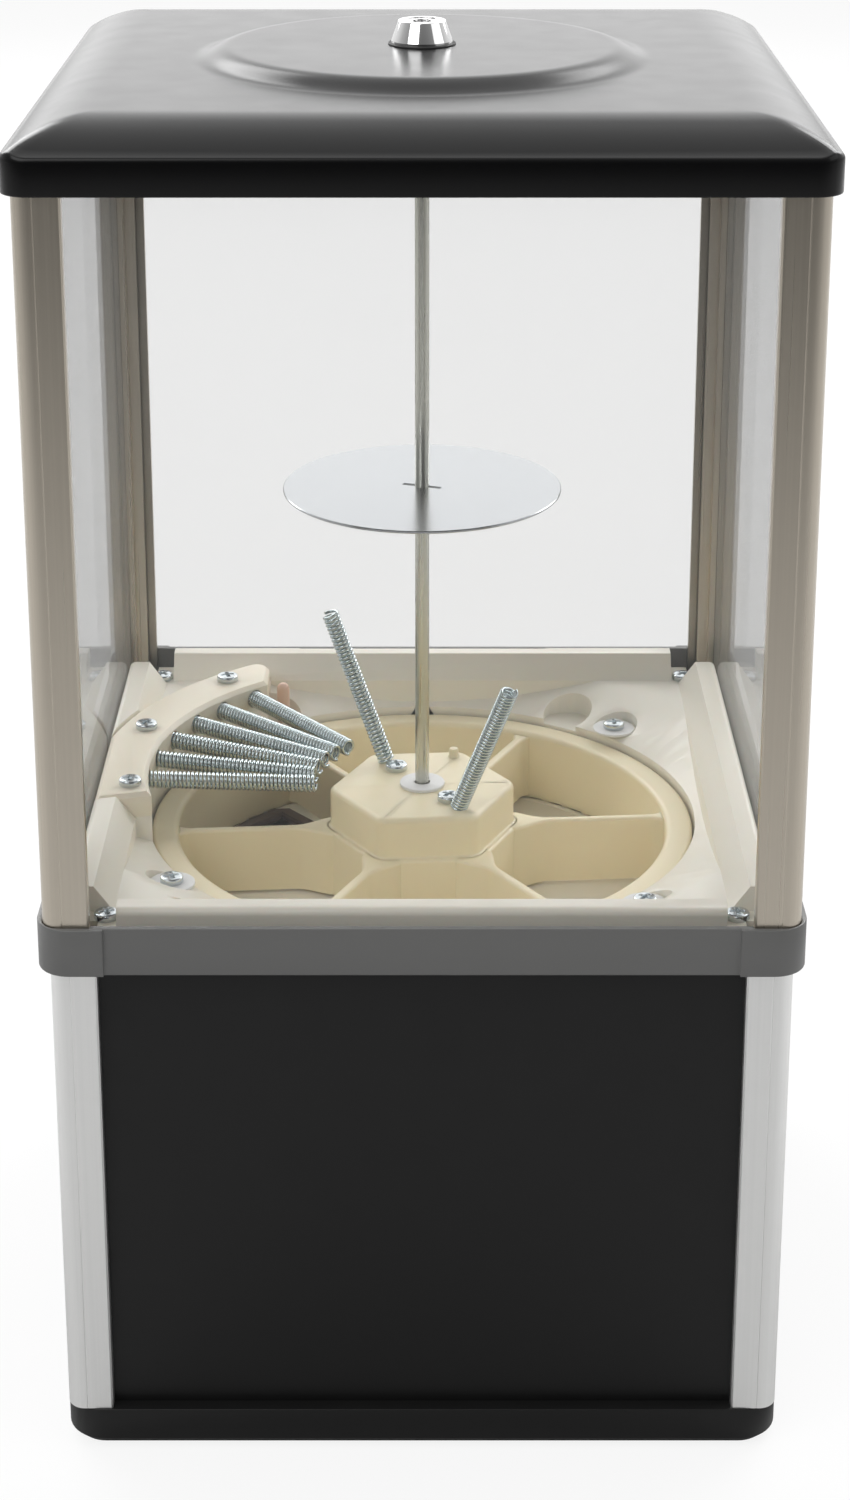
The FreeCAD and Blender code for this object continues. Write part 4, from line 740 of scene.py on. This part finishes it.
def pan_head(turn, shank):
    """Rings of one screw about +Z: dome height by radius, less a cross recess; then the rim and the shank."""
    r = np.concatenate([np.linspace(AXIS, RECESS_REACH, 22), np.linspace(2.75, 3.5, 4)])[:, None]
    angle = np.linspace(0, 2 * np.pi, 72, endpoint=False)[None]
    x, y = np.abs(r * np.cos(angle)), np.abs(r * np.sin(angle))
    arm = 1 - smoothstep(RECESS_HALF * 0.8, RECESS_HALF * 1.25, np.minimum(x, y))
    arm = arm * (1 - smoothstep(RECESS_REACH * 0.78, RECESS_REACH, np.maximum(x, y)))
    height = HEAD_TALL - HEAD_CROWN * (r / HEAD_R) ** 2 - RECESS_DEEP * arm
    theta = angle + math.radians(turn)
    dome = np.stack([r * np.cos(theta), r * np.sin(theta), height], -1)
    side_r, side_z = np.transpose([*HEAD_SIDE, (SHANK_R, -shank)])[:, :, None]
    side = np.stack([side_r * np.cos(theta), side_r * np.sin(theta), side_z + 0 * theta], -1)
    rings = np.concatenate([dome, side])
    return [joined_rings(rings), cap(rings[-1])]


def screws(node, places, shank, forward=False):
    """Copies of the screw on given seats; forward lays them along +Y: (x, y, z) becomes (x, z, -y)."""
    blocks = []
    for k, place in enumerate(places):
        for points, faces in pan_head(FIRST_TURN + NEXT_TURN * k, shank):
            laid = points[:, [0, 2, 1]] * [1, 1, -1] if forward else points
            blocks.append((laid + np.asarray(place, float), faces))
    piece(node + "_recessed", blocks, screw_zinc, node, sharp=35.0)


print("a screw head is", 2 * HEAD_R, "mm wide")

# %% Screws in the hopper
DECK, POCKET_FLOOR, POCKET_SEAT, COVER_TOP = 190.5, 182.0, 183.0, 199.5
CORNERS_AT = (-103.0, 103.0)
POCKETS = [(-85.5, -61.5), (75.0, -77.5), (74.0, 72.0)]
COVER_HOLES = [(-75.5, 79.5), (-102.5, 33.0), (-103.5, -17.5)]
AGITATOR_R, AGITATOR_ANGLES = 16.5, (125.0, 305.0)
screws("tray_corner_screws", [(x, y, DECK) for x in CORNERS_AT for y in CORNERS_AT], shank=6)
screws("wheel_keeper_screws", [(x, y, POCKET_SEAT) for x, y in POCKETS], shank=4)
screws("cover_screws", [(x, y, COVER_TOP) for x, y in COVER_HOLES], shank=8)
screws("agitator_screws", [(*polar(AGITATOR_R, a), HUB_TOP) for a in AGITATOR_ANGLES], shank=2.5)

# %% Screws on the front
SHAFT_Z, PLATE_FACE, PLATE_HOLES = 133.625, 120.0, (-34.5, 34.5)
FRAME_FACE, FRAME_X, FRAME_Z = 121.0, (-88.0, -24.0), (34.0, 70.0)
screws("faceplate_screws", [(x, PLATE_FACE, SHAFT_Z + z) for x in PLATE_HOLES for z in PLATE_HOLES],
       shank=5, forward=True)
screws("door_frame_screws", [(x, FRAME_FACE, z) for x in FRAME_X for z in FRAME_Z], shank=5, forward=True)

# %% [markdown]
# ## Washers, rod and baffle
# White washers lie under the keeper screws and on the hub. A steel baffle disc on the rod keeps the load off
# the wheel, and its hole has a keyway. Washers and rod are turned forms. The hole is not cut: its radius
# depends on the angle, which leaves clean faces.


# %% Washers
def washer_block(r_in, r_out, low, high, middle=(0.0, 0.0)):
    """A rectangle with round corners, r_in to r_out and low to high, carried round an upright axis."""
    profile = rounded([(r_in, low), (r_out, low), (r_out, high), (r_in, high)], [0.1, 0.2, 0.35, 0.2], 4)
    return joined_rings(turned_form(profile, 72, middle), wrap=True)


keeper_blocks = [washer_block(1.9, 8.0, POCKET_FLOOR, POCKET_SEAT, place) for place in POCKETS]
piece("keeper_washers_round", keeper_blocks, washer_white, "wheel_keeper_washers")
piece("hub_washer_round", [washer_block(2.8, 8.1, HUB_TOP, HUB_TOP + 1.2)], washer_white, "hub_washer")

# %% Rod
ROD_R, ROD_END_R, ROD_LOW = 2.5, 2.1, 2.0
HEAD_LOW, HEAD_HIGH, HEAD_X, HEAD_Y, HEAD_EDGE = 449.0, 452.5, 4.6, 1.8, 0.3
rod_profile = np.array([(AXIS, ROD_LOW), (ROD_END_R, ROD_LOW), (ROD_R, ROD_LOW + 0.5),
                        (ROD_R, HEAD_HIGH - 0.6), (ROD_END_R, HEAD_HIGH - 0.2), (AXIS, HEAD_HIGH - 0.2)])
head_corners = [(-HEAD_X, -HEAD_Y), (HEAD_X, -HEAD_Y), (HEAD_X, HEAD_Y), (-HEAD_X, HEAD_Y)]
head_rings = stacked_form(rounded(head_corners, 0.7), [HEAD_EDGE, 0, 0, HEAD_EDGE],
                          [HEAD_LOW, HEAD_LOW + HEAD_EDGE, HEAD_HIGH - HEAD_EDGE, HEAD_HIGH])
piece("center_rod_turned", [joined_rings(turned_form(rod_profile, 40)), joined_rings(head_rings),
                            cap(head_rings[0]), cap(head_rings[-1])], rod_zinc, "center_rod")

# %% Baffle disc
BAFFLE_R, BAFFLE_Z, BAFFLE_THICK, BAFFLE_EDGE = 48.5, 304.0, 1.0, 0.25
KEYWAY_ANGLE, KEYWAY_HALF, KEYWAY_REACH = 160.0, 1.1, 7.0


def baffle_rings():
    """Rings between the outer edge and a hole of radius min(reach, half width / |sin|), so it has a slot."""
    angle = np.linspace(0, 2 * np.pi, 360, endpoint=False)
    slot = KEYWAY_HALF / np.maximum(np.abs(np.sin(angle - math.radians(KEYWAY_ANGLE))), TINY)
    hole = np.maximum(ROD_R + 0.1, np.minimum(KEYWAY_REACH, slot))
    share = np.array([0, 0, 0.5, 1, 1, 1, 1, 0.5])[:, None]
    inset = BAFFLE_EDGE * np.array([0, 0, 0, 1, 0, 0, 1, 0])[:, None]
    r = hole + (BAFFLE_R - hole) * share - inset
    z = BAFFLE_Z + BAFFLE_THICK * np.array([0, 1, 1, 1, 0.75, 0.25, 0, 0])[:, None]
    return np.stack([r * np.cos(angle), r * np.sin(angle), z + 0 * angle], -1)


piece("baffle_disc_keyed", [joined_rings(baffle_rings(), wrap=True)], disc_steel, "baffle_disc")

# %% [markdown]
# ## Wheel
# The portioning wheel has a rounded rim, six thin walls that flare where they meet the hub, and a stepped
# six-sided hub. The rim is a turned form. Walls and hub are outlines stacked with small insets near the
# top, which is how a moulded edge rounds over.

# %% Rim
RIM_IN, RIM_OUT, RIM_LOW, RIM_TOP = 88.0, 97.6, 152.0, 178.0
rim_profile = rounded([(RIM_IN, RIM_LOW), (RIM_OUT, RIM_LOW), (RIM_OUT, RIM_TOP), (RIM_IN, RIM_TOP)],
                      [0.4, 0.4, 1.6, 2.2], 8)
piece("wheel_rim_round", [joined_rings(turned_form(rim_profile, 240), wrap=True)], wheel_cream, "wheel_rim")

# %% Walls
WALL_LOW, WALL_TOP, WALL_ROUND, PHASE = RIM_LOW + 0.3, 176.5, 1.3, 4.0
WALL_FROM, WALL_TO, WALL_HALF = 29.0, RIM_IN + 0.6, 1.8
HUB_FLARE, HUB_FLARE_SPAN = 6.0, (31.0, 46.0)
RIM_FLARE, RIM_FLARE_SPAN = 1.5, (RIM_IN - 4, RIM_IN)
quarter = np.linspace(0, np.pi / 2, 6)


def wall_blocks(degrees):
    """A wall whose half width swells by a smoothstep at both ends; the top edge is a quarter round."""
    along = np.linspace(WALL_FROM, WALL_TO, 40)
    half = WALL_HALF + HUB_FLARE * (1 - smoothstep(*HUB_FLARE_SPAN, along))
    half = half + RIM_FLARE * smoothstep(*RIM_FLARE_SPAN, along)
    outline = np.concatenate([np.stack([along, -half], -1), np.stack([along, half], -1)[::-1]])
    turn = math.radians(degrees)
    spin = np.array([[math.cos(turn), math.sin(turn)], [-math.sin(turn), math.cos(turn)]])
    insets = np.concatenate([[0], WALL_ROUND * (1 - np.cos(quarter))])
    heights = np.concatenate([[WALL_LOW], WALL_TOP - WALL_ROUND + WALL_ROUND * np.sin(quarter)])
    rings = stacked_form(outline @ spin, insets, heights)
    return [joined_rings(rings), cap(rings[0]), cap(rings[-1])]


piece("wheel_walls", [b for k in range(6) for b in wall_blocks(PHASE + 60 * k)], wheel_cream, "wheel_spokes")

# %% Hub
HUB_LEDGE, HUB_CORNER, HUB_HOLE, HEX_ROUND = 37.0, 34.0, 2.8, 8.0
LEDGE_ROUND, STEP_ROUND, TOP_ROUND = 1.2, 0.9, 2.2
NUB_R, NUB_TOP, NUB_AT = 1.8, 195.0, (27.5, 65.0)


def hub_rings():
    """Rounded hexagon stacked: up to the ledge, in by the step, up to the top, and in to the rod hole."""
    outline = rounded([polar(HUB_LEDGE, PHASE + 60 * k) for k in range(6)], HEX_ROUND, 9)
    outline = with_points_every(outline, 3.0)
    step = (HUB_LEDGE - HUB_CORNER) * math.cos(math.radians(30))
    rise, fall = np.sin(quarter), 1 - np.cos(quarter)
    insets = np.concatenate([[0], LEDGE_ROUND * fall, [step - STEP_ROUND],
                             step - STEP_ROUND + STEP_ROUND * rise, step + TOP_ROUND * fall])
    heights = np.concatenate([[WALL_LOW], WALL_TOP - LEDGE_ROUND + LEDGE_ROUND * rise, [WALL_TOP],
                              WALL_TOP + STEP_ROUND * fall, HUB_TOP - TOP_ROUND + TOP_ROUND * rise])
    ray = outline / np.linalg.norm(outline, axis=1)[:, None]
    hole = [np.column_stack([HUB_HOLE * ray, np.full(len(ray), z)]) for z in (HUB_TOP, WALL_LOW)]
    return np.concatenate([stacked_form(outline, insets, heights), hole])


nub_profile = np.array([(AXIS, HUB_TOP - 0.5), (NUB_R + 0.5, HUB_TOP - 0.5), (NUB_R + 0.4, HUB_TOP),
                        (NUB_R, HUB_TOP + 0.5), (NUB_R, NUB_TOP - 1.0), (NUB_R * 0.8, NUB_TOP - 0.3),
                        (AXIS, NUB_TOP)])
nub_rings = turned_form(nub_profile, 24, polar(*NUB_AT))
piece("wheel_hub_round", [joined_rings(hub_rings(), wrap=True), joined_rings(nub_rings)], wheel_cream,
      "wheel_hub")

# %% [markdown]
# ## Discharge lining and peg
# Under the wheel one opening lets a portion fall. The chute reaches up into it: a thin flange lies on the
# floor round the opening, and the wall below has a few level ribs. Chute and lining are dark brown, which is
# painted shade for the inside of the opening. The lining repeats the outline of the opening, and its inset
# swings in and out with the height.
# In the far left scallop of the tray stands a small round-topped peg, which is a turned form.

# %% Ribbed lining
LINING_R, LINING_ANGLES, LINING_Z, LINING_THICK = (44.3, 83.7), (130.3, 177.7), (143.8, 151.5), 0.8
FLANGE_Z, FLANGE_WIDE = 151.02, 3.3
RIBS, RIB_DEEP = 3, 0.35


def lining_rings():
    """The opening's outline stacked: up outside, round the flange, then down with a sine ripple."""
    inner, outer = np.linspace(*LINING_ANGLES[::-1], 40), np.linspace(*LINING_ANGLES, 60)
    outline = np.array([*[polar(LINING_R[1], a) for a in outer], *[polar(LINING_R[0], a) for a in inner]])
    low, high = LINING_Z
    heights = np.linspace(high, low, 8 * RIBS + 1)
    ripple = LINING_THICK + RIB_DEEP * np.sin(np.pi * RIBS * (heights - low) / (high - low)) ** 2
    return stacked_form(outline, [0, 0, -FLANGE_WIDE, -FLANGE_WIDE, *ripple],
                        [low, FLANGE_Z, FLANGE_Z, high, *heights])


piece("discharge_lining", [joined_rings(lining_rings(), wrap=True)], chute_painted_shade, "well_floor",
      replaces=False)

# %% Peg
PEG_AT, PEG_R, PEG_LOW, PEG_TOP = (-54.5, 89.0), 2.4, 178.5, 194.5
peg_dome = [(PEG_R * math.cos(t), PEG_TOP - PEG_R + PEG_R * math.sin(t)) for t in quarter[:-1]]
peg_profile = np.array([(AXIS, PEG_LOW), (PEG_R, PEG_LOW), *peg_dome, (AXIS, PEG_TOP)])
piece("scallop_peg", [joined_rings(turned_form(peg_profile, 32, PEG_AT))], peg_pink, "hopper_tray",
      replaces=False)

# %% [markdown]
# ## Works that stay as packed
# Behind the panels sit the gears, shaft, coin carrier and pawl. Their solids are true to the part, so the
# nodes stay and only take a finish. So do the flat sheets, and the chromed coin plate and handle, whose
# edges are already chamfered. The pawl spring is wound like the others, laid along its pin.

# %% Finishes for the nodes that stay
kept = {
    clear_sheet: ["window_front", "window_left", "window_rear", "window_right"],
    panel_black: ["front_panel", "left_panel", "rear_panel", "right_panel"],
    wheel_cream: ["wheel_gear_ring"],
    screw_zinc: ["baffle_pin", "rod_nuts", "lock_nut", "handle_shaft", "shaft_clip", "ratchet_wheel",
                 "ratchet_pawl", "pawl_pin", "door_hinge_pin", "drive_gear"],
    cast_grey: ["coin_carrier", "coin_housing"],
    brass: ["shaft_bush"],
    chrome: ["coin_faceplate", "coin_handle"],
}
for finish, names in kept.items():
    for name in names:
        coat(frame["nodes"][name], finish)
print(sum(len(names) for names in kept.values()), "nodes keep their solids")

# %% Pawl spring
pawl_low, pawl_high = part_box("pawl_spring")
pawl_x, pawl_z = (pawl_low.x + pawl_high.x) / 2 / MM, (pawl_low.z + pawl_high.z) / 2 / MM
pawl_ends = [(pawl_x, y / MM, pawl_z) for y in (pawl_low.y, pawl_high.y)]
piece("pawl_spring_wound", close_wound(*pawl_ends), spring_zinc, "pawl_spring", sharp=WIRE_SHARP)

# %% [markdown]
# ## Floor
# The picture is a product shot on white, on one wide pale floor that reaches past the frame. The camera sees
# most of it as white, while the light that it gives back stays at a plain level, so that colours come out as
# written. Towards the camera the floor fades, as a studio does beyond its lamps: the upright posts and the
# skirt of the lid mirror that fade, which shows their form.

# %% Floor
FLOOR_HALF, FLOOR_Z, FLOOR_ROUGH = 8.0, -0.0005, 0.9
FADE = {"From Min": -2.4, "From Max": -0.3, "To Min": 0.04, "To Max": 0.55}
WHITE_STRENGTH, WHITE_SHARE = 1.08, 0.8


def make_floor():
    """A square whose tone rises smoothly with y, and of which the camera sees a share as plain white."""
    mesh = bpy.data.meshes.new("floor")
    signs = [(-1, -1), (1, -1), (1, 1), (-1, 1)]
    mesh.from_pydata([(x * FLOOR_HALF, y * FLOOR_HALF, FLOOR_Z) for x, y in signs], [], [(0, 1, 2, 3)])
    material = bpy.data.materials.new("floor_white")
    material.use_nodes = True
    tree = material.node_tree
    shader = tree.nodes["Principled BSDF"]
    shader.inputs["Roughness"].default_value = FLOOR_ROUGH
    place = tree.nodes.new("ShaderNodeSeparateXYZ")
    tree.links.new(object_point(tree), place.inputs["Vector"])
    fade = tree.nodes.new("ShaderNodeMapRange")
    fade.interpolation_type = "SMOOTHSTEP"
    for label, value in FADE.items():
        fade.inputs[label].default_value = value
    tree.links.new(place.outputs["Y"], fade.inputs["Value"])
    tree.links.new(fade.outputs["Result"], shader.inputs["Base Color"])
    white = tree.nodes.new("ShaderNodeEmission")
    white.inputs["Strength"].default_value = WHITE_STRENGTH
    seen = tree.nodes.new("ShaderNodeLightPath")
    mix = tree.nodes.new("ShaderNodeMixShader")
    share = maths(tree, "MULTIPLY", seen.outputs["Is Camera Ray"], WHITE_SHARE)
    tree.links.new(share, mix.inputs["Fac"])
    tree.links.new(shader.outputs["BSDF"], mix.inputs[1])
    tree.links.new(white.outputs["Emission"], mix.inputs[2])
    tree.links.new(mix.outputs["Shader"], tree.nodes["Material Output"].inputs["Surface"])
    mesh.materials.append(material)
    floor = in_scene("floor", mesh)


make_floor()
print("the floor is", 2 * FLOOR_HALF, "m wide")

# %% [markdown]
# ## Surround
# The camera sees plain white beyond the machine. The light comes from a grey dome that is darker behind the
# camera. One even white dome would be simpler, but then metal has nothing dark to mirror and looks flat, so
# metal sees the white only where the backdrop is.

# %% Surround
DOME_LEVEL, DOME_BEHIND, DOME_ABOVE = 0.48, 0.40, 0.10


def make_surround():
    """Dome strength: level + behind y + above z. The camera sees white; mirrors mix in max(y, 0) of it."""
    world = bpy.data.worlds.new("surround")
    bpy.context.scene.world = world
    world.use_nodes = True
    tree = world.node_tree
    dome = tree.nodes["Background"]
    white = tree.nodes.new("ShaderNodeBackground")
    for background in (dome, white):
        background.inputs["Color"].default_value = (1, 1, 1, 1)
    point = tree.nodes.new("ShaderNodeTexCoord").outputs["Generated"]
    parts = tree.nodes.new("ShaderNodeSeparateXYZ")
    tree.links.new(point, parts.inputs["Vector"])
    behind = maths(tree, "MULTIPLY", parts.outputs["Y"], DOME_BEHIND)
    above = maths(tree, "MULTIPLY", parts.outputs["Z"], DOME_ABOVE)
    strength = maths(tree, "ADD", maths(tree, "ADD", behind, above), DOME_LEVEL)
    tree.links.new(strength, dome.inputs["Strength"])
    seen = tree.nodes.new("ShaderNodeLightPath")
    shown = maths(tree, "MAXIMUM", seen.outputs["Is Camera Ray"], seen.outputs["Is Transmission Ray"])
    backdrop = maths(tree, "MAXIMUM", parts.outputs["Y"], 0.0)
    mirrored = maths(tree, "MULTIPLY", seen.outputs["Is Glossy Ray"], backdrop)
    mix = tree.nodes.new("ShaderNodeMixShader")
    tree.links.new(maths(tree, "MAXIMUM", shown, mirrored), mix.inputs["Fac"])
    tree.links.new(dome.outputs["Background"], mix.inputs[1])
    tree.links.new(white.outputs["Background"], mix.inputs[2])
    tree.links.new(mix.outputs["Shader"], tree.nodes["World Output"].inputs["Surface"])


make_surround()
print("dome strength behind the machine:", DOME_LEVEL + DOME_BEHIND)

# %% [markdown]
# ## Lamps
# Big square lamps give the soft shadows of a studio: a key at the near left, a weaker fill at the right, one
# above, and three beyond the machine that light the hopper through its clear sheets.

# %% Lamps
MIDDLE = (0.0, 0.0, 0.22)
LAMPS = [
    ("key", (-1.1, -1.5, 2.1), 1.8, 29), ("fill", (1.9, -0.6, 1.4), 1.6, 8),
    ("top", (0.2, 0.5, 2.6), 2.4, 14), ("behind", (0.0, 2.4, 1.3), 2.0, 10),
    ("behind_left", (-1.3, 1.7, 1.55), 1.4, 32), ("behind_right", (1.4, 1.6, 1.55), 1.4, 32),
]


def soft_lamp(name, place, size, watts):
    """A square area lamp at a place, turned to face the middle of the machine."""
    lamp = bpy.data.lights.new(name, "AREA")
    lamp.size, lamp.energy = size, watts
    obj = in_scene(name, lamp)
    obj.location = place
    x, y, z = np.subtract(MIDDLE, place)
    obj.rotation_euler = (math.atan2(math.hypot(x, y), -z), 0, math.atan2(y, x) - math.pi / 2)


for lamp in LAMPS:
    soft_lamp(*lamp)
print(len(LAMPS), "lamps,", sum(watts for *_, watts in LAMPS), "watts")

# %% [markdown]
# ## Camera
# The camera faces the side without the coin front, from a little above the lid, and looks down into the
# hopper. A lens shift slides the picture on the sensor, so that the uprights converge less than by a tilt.

# %% Camera
CAMERA_AT, CAMERA_DOWN, CAMERA_LENS, CAMERA_SHIFT = (0.001, -0.934, 0.613), 17.43, 67.56, -0.203
lens = bpy.data.cameras.new("camera")
lens.sensor_width, lens.lens, lens.shift_y = 36.0, CAMERA_LENS, CAMERA_SHIFT
lens.clip_start = 0.01
camera = in_scene("camera", lens)
camera.location = CAMERA_AT
camera.rotation_euler = (math.radians(90 - CAMERA_DOWN), 0, 0)
bpy.context.scene.camera = camera
bpy.context.scene.view_settings.view_transform = "Standard"
print("the camera looks down by", CAMERA_DOWN, "degrees")
